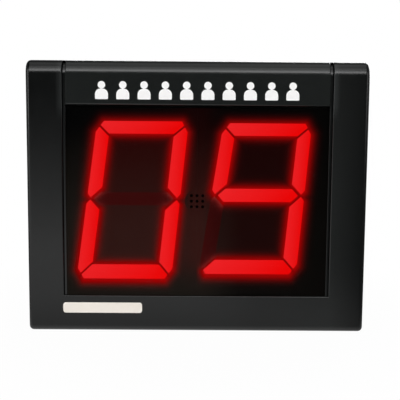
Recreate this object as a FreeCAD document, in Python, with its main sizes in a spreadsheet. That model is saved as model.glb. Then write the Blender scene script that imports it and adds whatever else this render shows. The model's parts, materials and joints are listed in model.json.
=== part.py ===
import FreeCAD, Part
import os
import re
import Sketcher

# Two-digit queue number display: a desk or wall counter with 127 mm figures.
# Every piece is drawn in case coordinates: x to the viewer's right from the middle, depth
# backwards from the front face, and height upwards from the underside of the case. A piece's
# Placement then puts it on the row's own origin, at the middle of the resting surface.

SIZES = {
    # case
    "case_width": 275.6,
    "case_height": 221.1,
    "case_depth": 58.0,
    "wall": 2.4,
    "split_depth": 24.0,
    "crown_radius": 10.0,
    "sill_radius": 4.4,
    "side_radius": 3.6,
    "back_bevel": 2.0,
    "joint_gap": 0.15,
    "tongue_thickness": 1.2,
    "tongue_length": 2.4,
    # bay between the cheeks, in which the front insert slides
    "bay_width": 217.4,
    "bay_depth": 11.6,
    "bay_wall": 2.4,
    "sill_height": 29.9,
    "sill_slot": 4.0,
    "cheek_round": 0.9,
    "sill_round": 0.9,
    "groove_front": 7.1,
    "groove_reach": 3.2,
    "opening_inset": 4.1,
    "opening_rise": 2.6,
    "opening_drop": 2.7,
    "notch_depth": 7.0,
    # front insert: header bar, rails and filter
    "slide_gap": 0.3,
    "header_inset": 2.8,
    "header_height": 35.1,
    "header_thickness": 11.0,
    "header_round": 1.2,
    "header_bevel": 0.5,
    "header_rib": 1.6,
    "header_rib_spacing": 52.0,
    "rail_recess": 1.4,
    "rail_drop": 2.0,
    "rail_round": 0.5,
    "rail_side": 1.3,
    "tongue_width": 2.2,
    "foot_bar_height": 2.0,
    "filter_recess": 3.2,
    "filter_thickness": 2.0,
    "filter_gap": 0.1,
    "filter_lap": 3.0,
    "sound_hole_diameter": 1.7,
    "sound_hole_pitch": 4.6,
    # figures
    "figure_spare": 28.6,
    "digit_slant": 6.9,
    "stroke": 11.2,
    "head_stroke": 10.2,
    "waist_stroke": 10.8,
    "foot_stroke": 12.0,
    "segment_gap": 1.5,
    "corner_across": 5.6,
    "corner_down": 8.7,
    "waist_inset": 2.7,
    "waist_cut": 4.2,
    "waist_gap": 2.3,
    "tens_inset": 52.8,
    "tens_lift": 1.7,
    "tens_above": 10.4,
    "tens_below": 10.4,
    "tens_spread": 4.2,
    "units_inset": 54.9,
    "units_lift": 5.1,
    "units_above": 11.5,
    "units_below": 14.8,
    "units_spread": 9.4,
    # digit blocks
    "block_front": 5.9,
    "block_thickness": 12.7,
    "block_wall": 3.0,
    "block_gap": 0.4,
    "block_margin": 0.6,
    "lens_thickness": 2.2,
    "lens_gap": 0.1,
    "well_ledge": 0.8,
    "well_taper": 8.0,
    "block_pin_size": 3.0,
    "block_pin_length": 1.4,
    "pin_gap": 0.1,
    "block_pin_inset": 7.0,
    "sounder_diameter": 17.0,
    "sounder_gap": 0.6,
    "sounder_recess": 1.6,
    "sounder_port": 3.0,
    "sounder_port_depth": 4.0,
    # lamps
    "lamp_size": 3.2,
    "lamp_thickness": 1.8,
    "lamp_end": 2.0,
    # boards
    "board_thickness": 1.6,
    "digit_board_overhang": 4.0,
    "board_hole_diameter": 3.2,
    "board_post_size": 7.0,
    "board_screw_inset": 4.4,
    "control_board_width": 124.0,
    "control_board_height": 38.0,
    "control_board_bottom": 5.0,
    "board_spacing": 7.8,
    "link_length": 34.0,
    "link_width": 5.2,
    "link_height": 37.5,
    "chip_height": 62.0,
    "chip_stand": 0.4,
    "chip_thickness": 3.0,
    "driver_length": 26.0,
    "driver_width": 8.0,
    "controller_length": 36.0,
    "controller_width": 8.0,
    "lead_width": 0.8,
    "lead_reach": 1.2,
    "supply_height": 90.0,
    "capacitor_place": 40.0,
    "capacitor_diameter": 10.0,
    "capacitor_length": 17.0,
    "regulator_place": -40.0,
    "regulator_width": 10.0,
    "regulator_length": 15.0,
    "regulator_thickness": 4.4,
    "regulator_stand": 4.0,
    "sink_width": 25.0,
    "sink_length": 18.0,
    "sink_height": 12.0,
    "sink_base": 2.6,
    "sink_fin": 1.6,
    "sink_channels": 5,
    # recess for the connections in the back
    "recess_width": 124.0,
    "recess_height": 43.0,
    "control_room": 10.0,
    "control_height": 24.0,
    "control_gap": 0.4,
    "power_place": 44.0,
    "power_jack_diameter": 11.0,
    "power_bore": 6.3,
    "power_pin": 2.0,
    "remote_place": 20.0,
    "remote_jack_size": 15.0,
    "remote_mouth_width": 10.0,
    "remote_mouth_height": 7.6,
    "jack_proud": 0.4,
    "jack_wall": 2.0,
    "latch_depth": 2.0,
    "contact_pitch": 1.3,
    "contact_width": 0.6,
    "advance_place": -6.0,
    "back_place": -26.0,
    "button_size": 10.0,
    "button_proud": 3.0,
    "button_travel": 1.5,
    "button_flange": 1.6,
    "button_skirt": 1.4,
    "button_bevel": 0.8,
    "switch_size": 12.0,
    "switch_thickness": 3.6,
    "plunger_size": 5.0,
    "volume_place": -47.0,
    "volume_travel": 5.0,
    "knob_width": 4.0,
    "knob_height": 3.4,
    "knob_proud": 2.4,
    "knob_bevel": 0.5,
    "slider_length": 15.0,
    "slider_height": 7.0,
    "slider_thickness": 5.0,
    # fastenings
    "case_screw_inset": 13.5,
    "case_screw_low": 14.0,
    "case_screw_drop": 15.0,
    "case_boss_size": 8.4,
    "case_screw_diameter": 3.4,
    "case_screw_length": 20.0,
    "case_screw_head": 6.4,
    "case_screw_seat": 30.0,
    "board_screw_diameter": 2.8,
    "board_screw_length": 7.0,
    "board_screw_head": 5.4,
    "screw_gap": 0.1,
    "screw_head_thickness": 2.0,
    # wall hanging
    "keyhole_spacing": 160.0,
    "keyhole_drop": 45.1,
    "keyhole_head": 9.0,
    "keyhole_neck": 4.6,
    "keyhole_rise": 9.0,
    "vent_count": 13,
    "vent_width": 3.0,
    "vent_length": 26.0,
    "vent_pitch": 8.0,
    "vent_bottom": 120.0,
    # feet
    "foot_size": 12.0,
    "foot_gap": 0.1,
    "foot_thickness": 2.4,
    "foot_proud": 1.0,
    "foot_inset": 22.0,
    "foot_front": 14.0,
    "foot_back_inset": 12.0,
}

doc = FreeCAD.newDocument("queue_display")
sheet = doc.addObject("Spreadsheet::Sheet", "Sizes")
for row, (alias, number) in enumerate(SIZES.items(), 1):
    sheet.set("A%d" % row, alias)
    sheet.set("B%d" % row, str(number))
    sheet.setAlias("B%d" % row, alias)
doc.recompute()

pieces = {}

# Small round things that repeat are drawn with a few flat sides.
SHANK_SIDES = 6
SOUND_HOLE_SIDES = 8


def cells(text):
    """The formula with each size's name read from the sheet."""
    return re.sub(r"[a-z_]+", lambda word: "Sizes." + word[0] if word[0] in SIZES else word[0], text)


def size(text):
    """The formula's present value in millimetres."""
    return float(sheet.evalExpression(cells(text)))


def bind(thing, name, text):
    """Ties one property of an object to a formula in the sizes."""
    thing.setExpression(name, cells(text))


def finish_piece(label, thing, depth="0", height="0", x="0"):
    """Names a piece and moves it from case coordinates to the row's origin."""
    thing.Label = label
    bind(thing, "Placement.Base.x", x)
    bind(thing, "Placement.Base.y", "(%s) - case_depth / 2" % depth)
    bind(thing, "Placement.Base.z", "(%s) + foot_proud" % height)
    pieces[label] = thing
    return thing


# Sketches


def draw_polygon(sketch, corners):
    """Adds a closed outline whose corners are pairs of formulas."""
    first = sketch.GeometryCount
    places = [tuple(size(text) for text in corner) for corner in corners]
    for here, there in zip(places, places[1:] + places[:1]):
        line = Part.LineSegment(FreeCAD.Vector(*here, 0), FreeCAD.Vector(*there, 0))
        sketch.addGeometry(line, False)
    for index, corner in enumerate(corners):
        after = first + (index + 1) % len(corners)
        sketch.addConstraint(Sketcher.Constraint("Coincident", first + index, 2, after, 1))
        for kind, text, place in zip(("DistanceX", "DistanceY"), corner, places[index]):
            name = "%s%d" % (kind, first + index)
            number = sketch.addConstraint(Sketcher.Constraint(kind, -1, 1, first + index, 1, place))
            sketch.renameConstraint(number, name)
            bind(sketch, "Constraints." + name, text)


def draw_box(sketch, low_x, low_y, high_x, high_y):
    """Adds a rectangle between two corners."""
    draw_polygon(
        sketch, [(low_x, low_y), (high_x, low_y), (high_x, high_y), (low_x, high_y)]
    )


def draw_circle(sketch, x, y, radius):
    """Adds a circle whose centre and radius are formulas."""
    centre = FreeCAD.Vector(size(x), size(y), 0)
    number = sketch.addGeometry(Part.Circle(centre, FreeCAD.Vector(0, 0, 1), size(radius)), False)
    rules = [
        ("DistanceX", (-1, 1, number, 3, size(x)), x),
        ("DistanceY", (-1, 1, number, 3, size(y)), y),
        ("Radius", (number, size(radius)), radius),
    ]
    for kind, facts, text in rules:
        name = "%s%d" % (kind, number)
        sketch.renameConstraint(sketch.addConstraint(Sketcher.Constraint(kind, *facts)), name)
        bind(sketch, "Constraints." + name, text)


def draw_square(sketch, x, y, side):
    """Adds a square round a centre."""
    half = "(%s) / 2" % side
    draw_box(
        sketch,
        "%s - %s" % (x, half),
        "%s - %s" % (y, half),
        "%s + %s" % (x, half),
        "%s + %s" % (y, half),
    )


def draw_even_polygon(sketch, x, y, radius, sides):
    """Adds a regular polygon that fits in a circle, with one corner level with its centre."""
    draw_polygon(
        sketch,
        [
            (
                "%s + (%s) * cos(%g)" % (x, radius, 360 * number / sides),
                "%s + (%s) * sin(%g)" % (y, radius, 360 * number / sides),
            )
            for number in range(sides)
        ],
    )


def body_sketch(body, role, offset):
    """A sketch on one of the body's own origin planes, moved along its normal."""
    sketch = body.newObject("Sketcher::SketchObject", "Outline")
    plane = next(item for item in body.Origin.OriginFeatures if item.Role == role)
    sketch.AttachmentSupport = [(plane, "")]
    sketch.MapMode = "FlatFace"
    bind(sketch, "AttachmentOffset.Base.z", offset)
    return sketch


def face_sketch(body, depth):
    """A sketch of x and height at one depth; its normal points forwards."""
    return body_sketch(body, "XZ_Plane", "-(%s)" % depth)


def plan_sketch(body, height):
    """A sketch of x and depth at one height; its normal points upwards."""
    return body_sketch(body, "XY_Plane", height)


# Features of a body


def check_feature(body, feature):
    """Stops at a feature that could not be worked out."""
    if {"Invalid", "Error"} & set(feature.State) or feature.Shape.isNull():
        raise RuntimeError("%s: %s failed, %s" % (body.Label, feature.Label, feature.State))


def extrude(body, kind, sketch, length, reverse):
    """Pads or pockets a sketch and checks that the solid changed."""
    before = body.Shape.Volume if body.Tip else 0.0
    feature = body.newObject(kind, "Feature")
    feature.Profile = sketch
    feature.Reversed = reverse
    bind(feature, "Length", length)
    doc.recompute()
    check_feature(body, feature)
    if abs(body.Shape.Volume - before) < 0.01:
        raise RuntimeError("%s: %s changed nothing" % (body.Label, feature.Label))
    return feature


def pad_back(body, sketch, length):
    """Adds material from the sketch backwards."""
    return extrude(body, "PartDesign::Pad", sketch, length, True)


def pad_forward(body, sketch, length):
    """Adds material from the sketch forwards, or upwards from a plan."""
    return extrude(body, "PartDesign::Pad", sketch, length, False)


def cut_back(body, sketch, length):
    """Removes material from the sketch backwards."""
    return extrude(body, "PartDesign::Pocket", sketch, length, False)


def cut_forward(body, sketch, length):
    """Removes material from the sketch forwards, or upwards from a plan."""
    return extrude(body, "PartDesign::Pocket", sketch, length, True)


def dress_edges(body, kind, measure, length, chosen):
    """Fillets or bevels the edges of the body whose bounds satisfy the test."""
    base = body.Tip
    names = [
        "Edge%d" % number
        for number, edge in enumerate(base.Shape.Edges, 1)
        if chosen(edge.BoundBox)
    ]
    if not names:
        raise RuntimeError("%s: no edge to dress" % body.Label)
    feature = body.newObject(kind, "Dressing")
    feature.Base = (base, names)
    bind(feature, measure, length)
    doc.recompute()
    check_feature(body, feature)
    return feature


def round_edges(body, radius, chosen):
    """Gives the chosen edges a round."""
    return dress_edges(body, "PartDesign::Fillet", "Radius", radius, chosen)


def bevel_edges(body, width, chosen):
    """Gives the chosen edges a flat bevel."""
    return dress_edges(body, "PartDesign::Chamfer", "Size", width, chosen)


def near(one, other):
    """True where two lengths agree to a hundredth of a millimetre."""
    return abs(one - other) < 0.01


def flat_at(low, high, place):
    """True where an extent lies at one place."""
    return near(low, place) and near(high, place)


def beside(box, half):
    """True where an edge lies in one of the two planes x = half and x = -half."""
    return near(box.XMin, box.XMax) and near(abs(box.XMin), half)


def new_body(label):
    """An empty body that becomes the named piece."""
    return finish_piece(label, doc.addObject("PartDesign::Body", label))


# Solids made of primitives


def place_at(thing, x, depth, height):
    """Ties a primitive's corner or axis start to formulas."""
    for letter, text in zip("xyz", (x, depth, height)):
        bind(thing, "Placement.Base." + letter, text)


def block(x, depth, height, width, thickness, rise):
    """A box centred on x and height, from one depth backwards."""
    box = doc.addObject("Part::Box", "Block")
    for name, text in (("Length", width), ("Width", thickness), ("Height", rise)):
        bind(box, name, text)
    place_at(box, "(%s) - (%s) / 2" % (x, width), depth, "(%s) - (%s) / 2" % (height, rise))
    return box


def rod(x, depth, height, diameter, length):
    """A cylinder along the depth, from one depth backwards."""
    cylinder = doc.addObject("Part::Cylinder", "Rod")
    bind(cylinder, "Radius", "(%s) / 2" % diameter)
    bind(cylinder, "Height", length)
    cylinder.Placement.Rotation = FreeCAD.Rotation(FreeCAD.Vector(1, 0, 0), -90)
    place_at(cylinder, x, depth, height)
    return cylinder


def even_bar(x, depth, height, diameter, length, sides):
    """A bar of regular section along the depth, which fits in a circle of the diameter."""
    bar = doc.addObject("Part::Prism", "Bar")
    bar.Polygon = sides
    bind(bar, "Circumradius", "(%s) / 2" % diameter)
    bind(bar, "Height", length)
    bar.Placement.Rotation = FreeCAD.Rotation(FreeCAD.Vector(1, 0, 0), -90)
    place_at(bar, x, depth, height)
    return bar


def fused(parts):
    """One solid made of overlapping parts."""
    union = doc.addObject("Part::MultiFuse", "Union")
    union.Shapes = parts
    return union


def grouped(parts):
    """Separate solids kept together."""
    group = doc.addObject("Part::Compound", "Group")
    group.Links = parts
    return group


def cut_from(base, tools):
    """The base with every tool taken out of it."""
    cut = doc.addObject("Part::Cut", "Cut")
    cut.Base = base
    cut.Tool = tools[0] if len(tools) == 1 else grouped(tools)
    return cut


# Places that several pieces share

INNER_HALF = "(case_width / 2 - wall)"
INNER_TOP = "(case_height - wall)"
CHEEK_CAVITY = "(bay_width / 2 + groove_reach + wall)"
GROOVE_WIDTH = "(tongue_width + 2 * slide_gap)"
SLOT_BOTTOM = "(sill_height - sill_slot)"
HEADER_WIDTH = "(bay_width - 2 * header_inset)"
HEADER_BOTTOM = "(case_height - header_height)"
OPENING_WIDTH = "(bay_width - 2 * opening_inset)"
OPENING_BOTTOM = "(sill_height + opening_rise)"
OPENING_TOP = "(case_height - header_height - opening_drop)"
OPENING_MIDDLE = "((%s + %s) / 2)" % (OPENING_TOP, OPENING_BOTTOM)
BOARD_FRONT = "(block_front + block_thickness)"
CONTROL_FRONT = "(block_front + block_thickness + board_thickness + board_spacing)"
CONTROL_BACK = "(block_front + block_thickness + 2 * board_thickness + board_spacing)"
PANEL_FRONT = "(%s + control_room)" % CONTROL_BACK
PANEL_BACK = "(%s + wall)" % PANEL_FRONT
RECESS_DEPTH = "(case_depth - %s)" % PANEL_BACK
CASE_SCREW_X = "(case_width / 2 - case_screw_inset)"
FOOT_X = "(case_width / 2 - foot_inset)"
FOOT_BACK = "(case_depth - foot_back_inset)"
KEYHOLE_HEIGHT = "(case_height - keyhole_drop)"
BOARD_HALF = "(%s / 2 + 2 * digit_board_overhang)" % OPENING_WIDTH
BOARD_LOW = "(%s - digit_board_overhang)" % OPENING_BOTTOM
BOARD_HIGH = "(%s + digit_board_overhang)" % OPENING_TOP
CASE_SCREWS = [
    ("%s%s" % (side, CASE_SCREW_X), height)
    for side in ("-", "")
    for height in ("case_screw_low", "(case_height - case_screw_drop)")
]
BOARD_SCREWS = [
    ("%s(%s / 2 + board_screw_inset)" % (side, OPENING_WIDTH), height)
    for side in ("-", "")
    for height in (
        "(%s + board_screw_inset)" % OPENING_BOTTOM,
        "(%s - board_screw_inset)" % OPENING_TOP,
    )
]
CONTROL_SCREWS = [
    (
        "%s(control_board_width / 2 - board_screw_inset)" % side,
        "(control_board_bottom + control_board_height / 2)",
    )
    for side in ("-", "")
]


def cut_foot_seats(body, depth):
    """Two square recesses for the feet, in the underside at one depth."""
    seats = plan_sketch(body, "0")
    for side in ("-", ""):
        draw_square(seats, side + FOOT_X, depth, "foot_size + 2 * foot_gap")
    cut_forward(body, seats, "foot_thickness - foot_proud")


# Front housing: cheeks, sill and the bay between them, hollow from behind


def make_front_housing():
    """The U-shaped front moulding with its rounded crown and insert bay."""
    body = new_body("front_housing")
    half, top, front = size("case_width / 2"), size("case_height"), 0.0
    split = size("split_depth")

    outline = face_sketch(body, "0")
    draw_box(outline, "-case_width / 2", "0", "case_width / 2", "case_height")
    pad_back(body, outline, "split_depth")

    hollow = face_sketch(body, "split_depth")
    draw_polygon(
        hollow,
        [
            ("-" + INNER_HALF, "wall"),
            (INNER_HALF, "wall"),
            (INNER_HALF, INNER_TOP),
            (CHEEK_CAVITY, INNER_TOP),
            (CHEEK_CAVITY, SLOT_BOTTOM + " - wall"),
            ("-" + CHEEK_CAVITY, SLOT_BOTTOM + " - wall"),
            ("-" + CHEEK_CAVITY, INNER_TOP),
            ("-" + INNER_HALF, INNER_TOP),
        ],
    )
    cut_forward(body, hollow, "split_depth - wall")
    inner_front, inner_top = size("wall"), size(INNER_TOP)
    round_edges(
        body,
        "crown_radius - wall",
        lambda b: flat_at(b.YMin, b.YMax, inner_front) and flat_at(b.ZMin, b.ZMax, inner_top),
    )
    round_edges(
        body,
        "crown_radius",
        lambda b: flat_at(b.YMin, b.YMax, front) and flat_at(b.ZMin, b.ZMax, top),
    )
    round_edges(
        body,
        "sill_radius",
        lambda b: flat_at(b.YMin, b.YMax, front) and flat_at(b.ZMin, b.ZMax, 0.0),
    )
    round_edges(
        body,
        "side_radius",
        lambda b: beside(b, half) and not flat_at(b.YMin, b.YMax, split),
    )

    back_room = face_sketch(body, "split_depth")
    draw_box(back_room, "-" + INNER_HALF, "wall", INNER_HALF, INNER_TOP)
    cut_forward(body, back_room, "split_depth - bay_depth - bay_wall")

    bay = face_sketch(body, "0")
    draw_box(bay, "-bay_width / 2", "sill_height", "bay_width / 2", "case_height + 1")
    cut_back(body, bay, "bay_depth")
    bay_half, sill = size("bay_width / 2"), size("sill_height")
    round_edges(
        body,
        "cheek_round",
        lambda b: beside(b, bay_half) and flat_at(b.YMin, b.YMax, front) and b.ZMin > sill - 0.01,
    )
    round_edges(
        body,
        "sill_round",
        lambda b: flat_at(b.YMin, b.YMax, front)
        and flat_at(b.ZMin, b.ZMax, sill)
        and b.XMin < 0 < b.XMax,
    )

    grooves = face_sketch(body, "groove_front")
    reach = "(bay_width / 2 + groove_reach)"
    draw_box(grooves, "-" + reach, SLOT_BOTTOM, reach, "case_height + 1")
    cut_back(body, grooves, GROOVE_WIDTH)
    filter_slot = face_sketch(body, "filter_recess - slide_gap")
    draw_box(filter_slot, "-bay_width / 2", SLOT_BOTTOM, "bay_width / 2", "sill_height + 1")
    cut_back(body, filter_slot, "groove_front - filter_recess + 2 * slide_gap")

    opening = face_sketch(body, "bay_depth")
    opening_half = OPENING_WIDTH + " / 2"
    draw_box(opening, "-" + opening_half, OPENING_BOTTOM, opening_half, OPENING_TOP)
    cut_back(body, opening, "bay_wall")

    notches = face_sketch(body, "bay_depth")
    for side in ("-", ""):
        draw_box(
            notches,
            side + HEADER_WIDTH + " / 2",
            INNER_TOP + " - wall",
            side + "bay_width / 2",
            "case_height + 1",
        )
    cut_back(body, notches, "notch_depth")

    bosses = face_sketch(body, "split_depth")
    for x, height in CASE_SCREWS:
        draw_square(bosses, x, height, "case_boss_size")
    pad_forward(body, bosses, "split_depth - wall / 2")
    pilots = face_sketch(body, "split_depth")
    for x, height in CASE_SCREWS:
        draw_even_polygon(pilots, x, height, "case_screw_diameter / 2 + screw_gap", SHANK_SIDES)
    cut_forward(body, pilots, "split_depth - 2 * wall")

    posts = face_sketch(body, BOARD_FRONT)
    for x, height in BOARD_SCREWS:
        draw_square(posts, x, height, "board_post_size")
    pad_forward(body, posts, BOARD_FRONT + " - bay_depth - bay_wall / 2")
    post_pilots = face_sketch(body, BOARD_FRONT)
    for x, height in BOARD_SCREWS:
        draw_even_polygon(
            post_pilots, x, height, "board_screw_diameter / 2 + screw_gap", SHANK_SIDES
        )
    cut_forward(body, post_pilots, BOARD_FRONT + " - bay_depth - bay_wall / 3")

    cut_foot_seats(body, "foot_front")


make_front_housing()


# Front insert: the header bar and its rails, which carry the filter


def make_header_frame():
    """The header bar over two rails and a foot bar, one moulding open behind."""
    body = new_body("header_frame")
    header_half = "(%s / 2)" % HEADER_WIDTH
    rail_half = "(bay_width / 2 - slide_gap)"
    foot_half = "(bay_width / 2 + groove_reach - slide_gap)"
    back = "(groove_front + slide_gap + tongue_width)"
    low = "(sill_height + slide_gap)"
    foot = SLOT_BOTTOM + " + slide_gap"
    rail_top = "(case_height - rail_drop)"

    shoulder = face_sketch(body, "rail_recess")
    draw_box(shoulder, "-" + rail_half, HEADER_BOTTOM, rail_half, rail_top)
    pad_back(body, shoulder, "header_thickness - rail_recess")
    recess, shoulder_top = size("rail_recess"), size(rail_top)
    round_edges(
        body,
        "crown_radius - rail_recess",
        lambda b: flat_at(b.YMin, b.YMax, recess) and flat_at(b.ZMin, b.ZMax, shoulder_top),
    )

    bar = face_sketch(body, "0")
    draw_box(bar, "-" + header_half, HEADER_BOTTOM, header_half, "case_height")
    pad_back(body, bar, "header_thickness")
    hollow = face_sketch(body, "header_thickness")
    draw_box(
        hollow,
        "-(%s - wall)" % header_half,
        HEADER_BOTTOM + " - 1",
        header_half + " - wall",
        INNER_TOP,
    )
    cut_forward(body, hollow, "header_thickness - filter_recess")
    inner_front, inner_top = size("filter_recess"), size(INNER_TOP)
    round_edges(
        body,
        "crown_radius - filter_recess",
        lambda b: flat_at(b.YMin, b.YMax, inner_front) and flat_at(b.ZMin, b.ZMax, inner_top),
    )
    top, bottom = size("case_height"), size(HEADER_BOTTOM)
    round_edges(
        body,
        "crown_radius",
        lambda b: flat_at(b.YMin, b.YMax, 0.0) and flat_at(b.ZMin, b.ZMax, top),
    )
    half = size(header_half)
    bevel_edges(
        body, "header_bevel", lambda b: beside(b, half) and flat_at(b.YMin, b.YMax, 0.0)
    )
    round_edges(
        body,
        "header_round",
        lambda b: flat_at(b.YMin, b.YMax, 0.0) and flat_at(b.ZMin, b.ZMax, bottom),
    )

    rails = plan_sketch(body, low)
    for side in ("-", ""):
        inner = "(%s + slide_gap)" % header_half
        wall_inner = "(%s - rail_side)" % rail_half
        draw_polygon(
            rails,
            [
                (side + inner, "rail_recess"),
                (side + rail_half, "rail_recess"),
                (side + rail_half, "groove_front + slide_gap"),
                (side + foot_half, "groove_front + slide_gap"),
                (side + foot_half, back),
                (side + wall_inner, back),
                (side + wall_inner, "filter_recess"),
                (side + inner, "filter_recess"),
            ],
        )
    pad_forward(body, rails, HEADER_BOTTOM + " + 1 - " + low)
    recess_plane, rail_edge = size("rail_recess"), size(rail_half)
    lip_edge = half + size("slide_gap")
    round_edges(
        body,
        "rail_round",
        lambda b: near(b.XMin, b.XMax)
        and (near(abs(b.XMin), rail_edge) or near(abs(b.XMin), lip_edge))
        and flat_at(b.YMin, b.YMax, recess_plane),
    )

    legs = face_sketch(body, "filter_recess")
    tongues = face_sketch(body, "groove_front + slide_gap")
    for side in ("-", ""):
        leg_inner = side + "(%s - rail_side)" % rail_half
        draw_box(legs, leg_inner, foot, side + rail_half, low + " + 1")
        draw_box(tongues, leg_inner, foot, side + foot_half, low + " + 1")
    pad_back(body, legs, back + " - filter_recess")
    pad_back(body, tongues, "tongue_width")
    foot_bar = face_sketch(body, "filter_recess")
    draw_box(foot_bar, "-" + rail_half, foot, rail_half, foot + " + foot_bar_height")
    pad_back(body, foot_bar, "block_front - slide_gap - filter_recess")

    filter_seat = face_sketch(body, "header_thickness")
    seat_half = "(%s - rail_side)" % rail_half
    draw_box(
        filter_seat,
        "-" + seat_half,
        HEADER_BOTTOM + " - 1",
        seat_half,
        HEADER_BOTTOM + " + filter_lap + filter_gap",
    )
    cut_forward(body, filter_seat, "header_thickness - filter_recess")
    ribs = face_sketch(body, "header_thickness - 1")
    for place in ("-header_rib_spacing", "0", "header_rib_spacing"):
        draw_box(
            ribs,
            place + " - header_rib / 2",
            HEADER_BOTTOM + " + filter_lap + 2 * filter_gap",
            place + " + header_rib / 2",
            "case_height - crown_radius",
        )
    pad_forward(body, ribs, "header_thickness - 1 - filter_recess + wall / 2")


make_header_frame()


def make_window_filter():
    """The dark filter with nine sound holes in its middle."""
    body = new_body("window_filter")
    half = "(bay_width / 2 - slide_gap - rail_side - filter_gap)"
    sheet_outline = face_sketch(body, "filter_recess")
    draw_box(
        sheet_outline,
        "-" + half,
        SLOT_BOTTOM + " + slide_gap + foot_bar_height + filter_gap",
        half,
        HEADER_BOTTOM + " + filter_lap",
    )
    pad_back(body, sheet_outline, "filter_thickness")
    hole = face_sketch(body, "filter_recess")
    draw_even_polygon(
        hole,
        "-sound_hole_pitch",
        OPENING_MIDDLE + " - sound_hole_pitch",
        "sound_hole_diameter / 2",
        SOUND_HOLE_SIDES,
    )
    first = cut_back(body, hole, "filter_thickness")
    rows = body.newObject("PartDesign::MultiTransform", "SoundHoles")
    rows.Originals = [first]
    across = body.newObject("PartDesign::LinearPattern", "Across")
    upwards = body.newObject("PartDesign::LinearPattern", "Upwards")
    for pattern, axis in ((across, "H_Axis"), (upwards, "V_Axis")):
        pattern.Direction = (hole, [axis])
        bind(pattern, "Length", "2 * sound_hole_pitch")
        pattern.Occurrences = 3
    rows.Transformations = [across, upwards]
    body.Tip = rows
    doc.recompute()
    check_feature(body, rows)


make_window_filter()


# Rear housing: a shell with the connection recess, keyholes and vents


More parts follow.
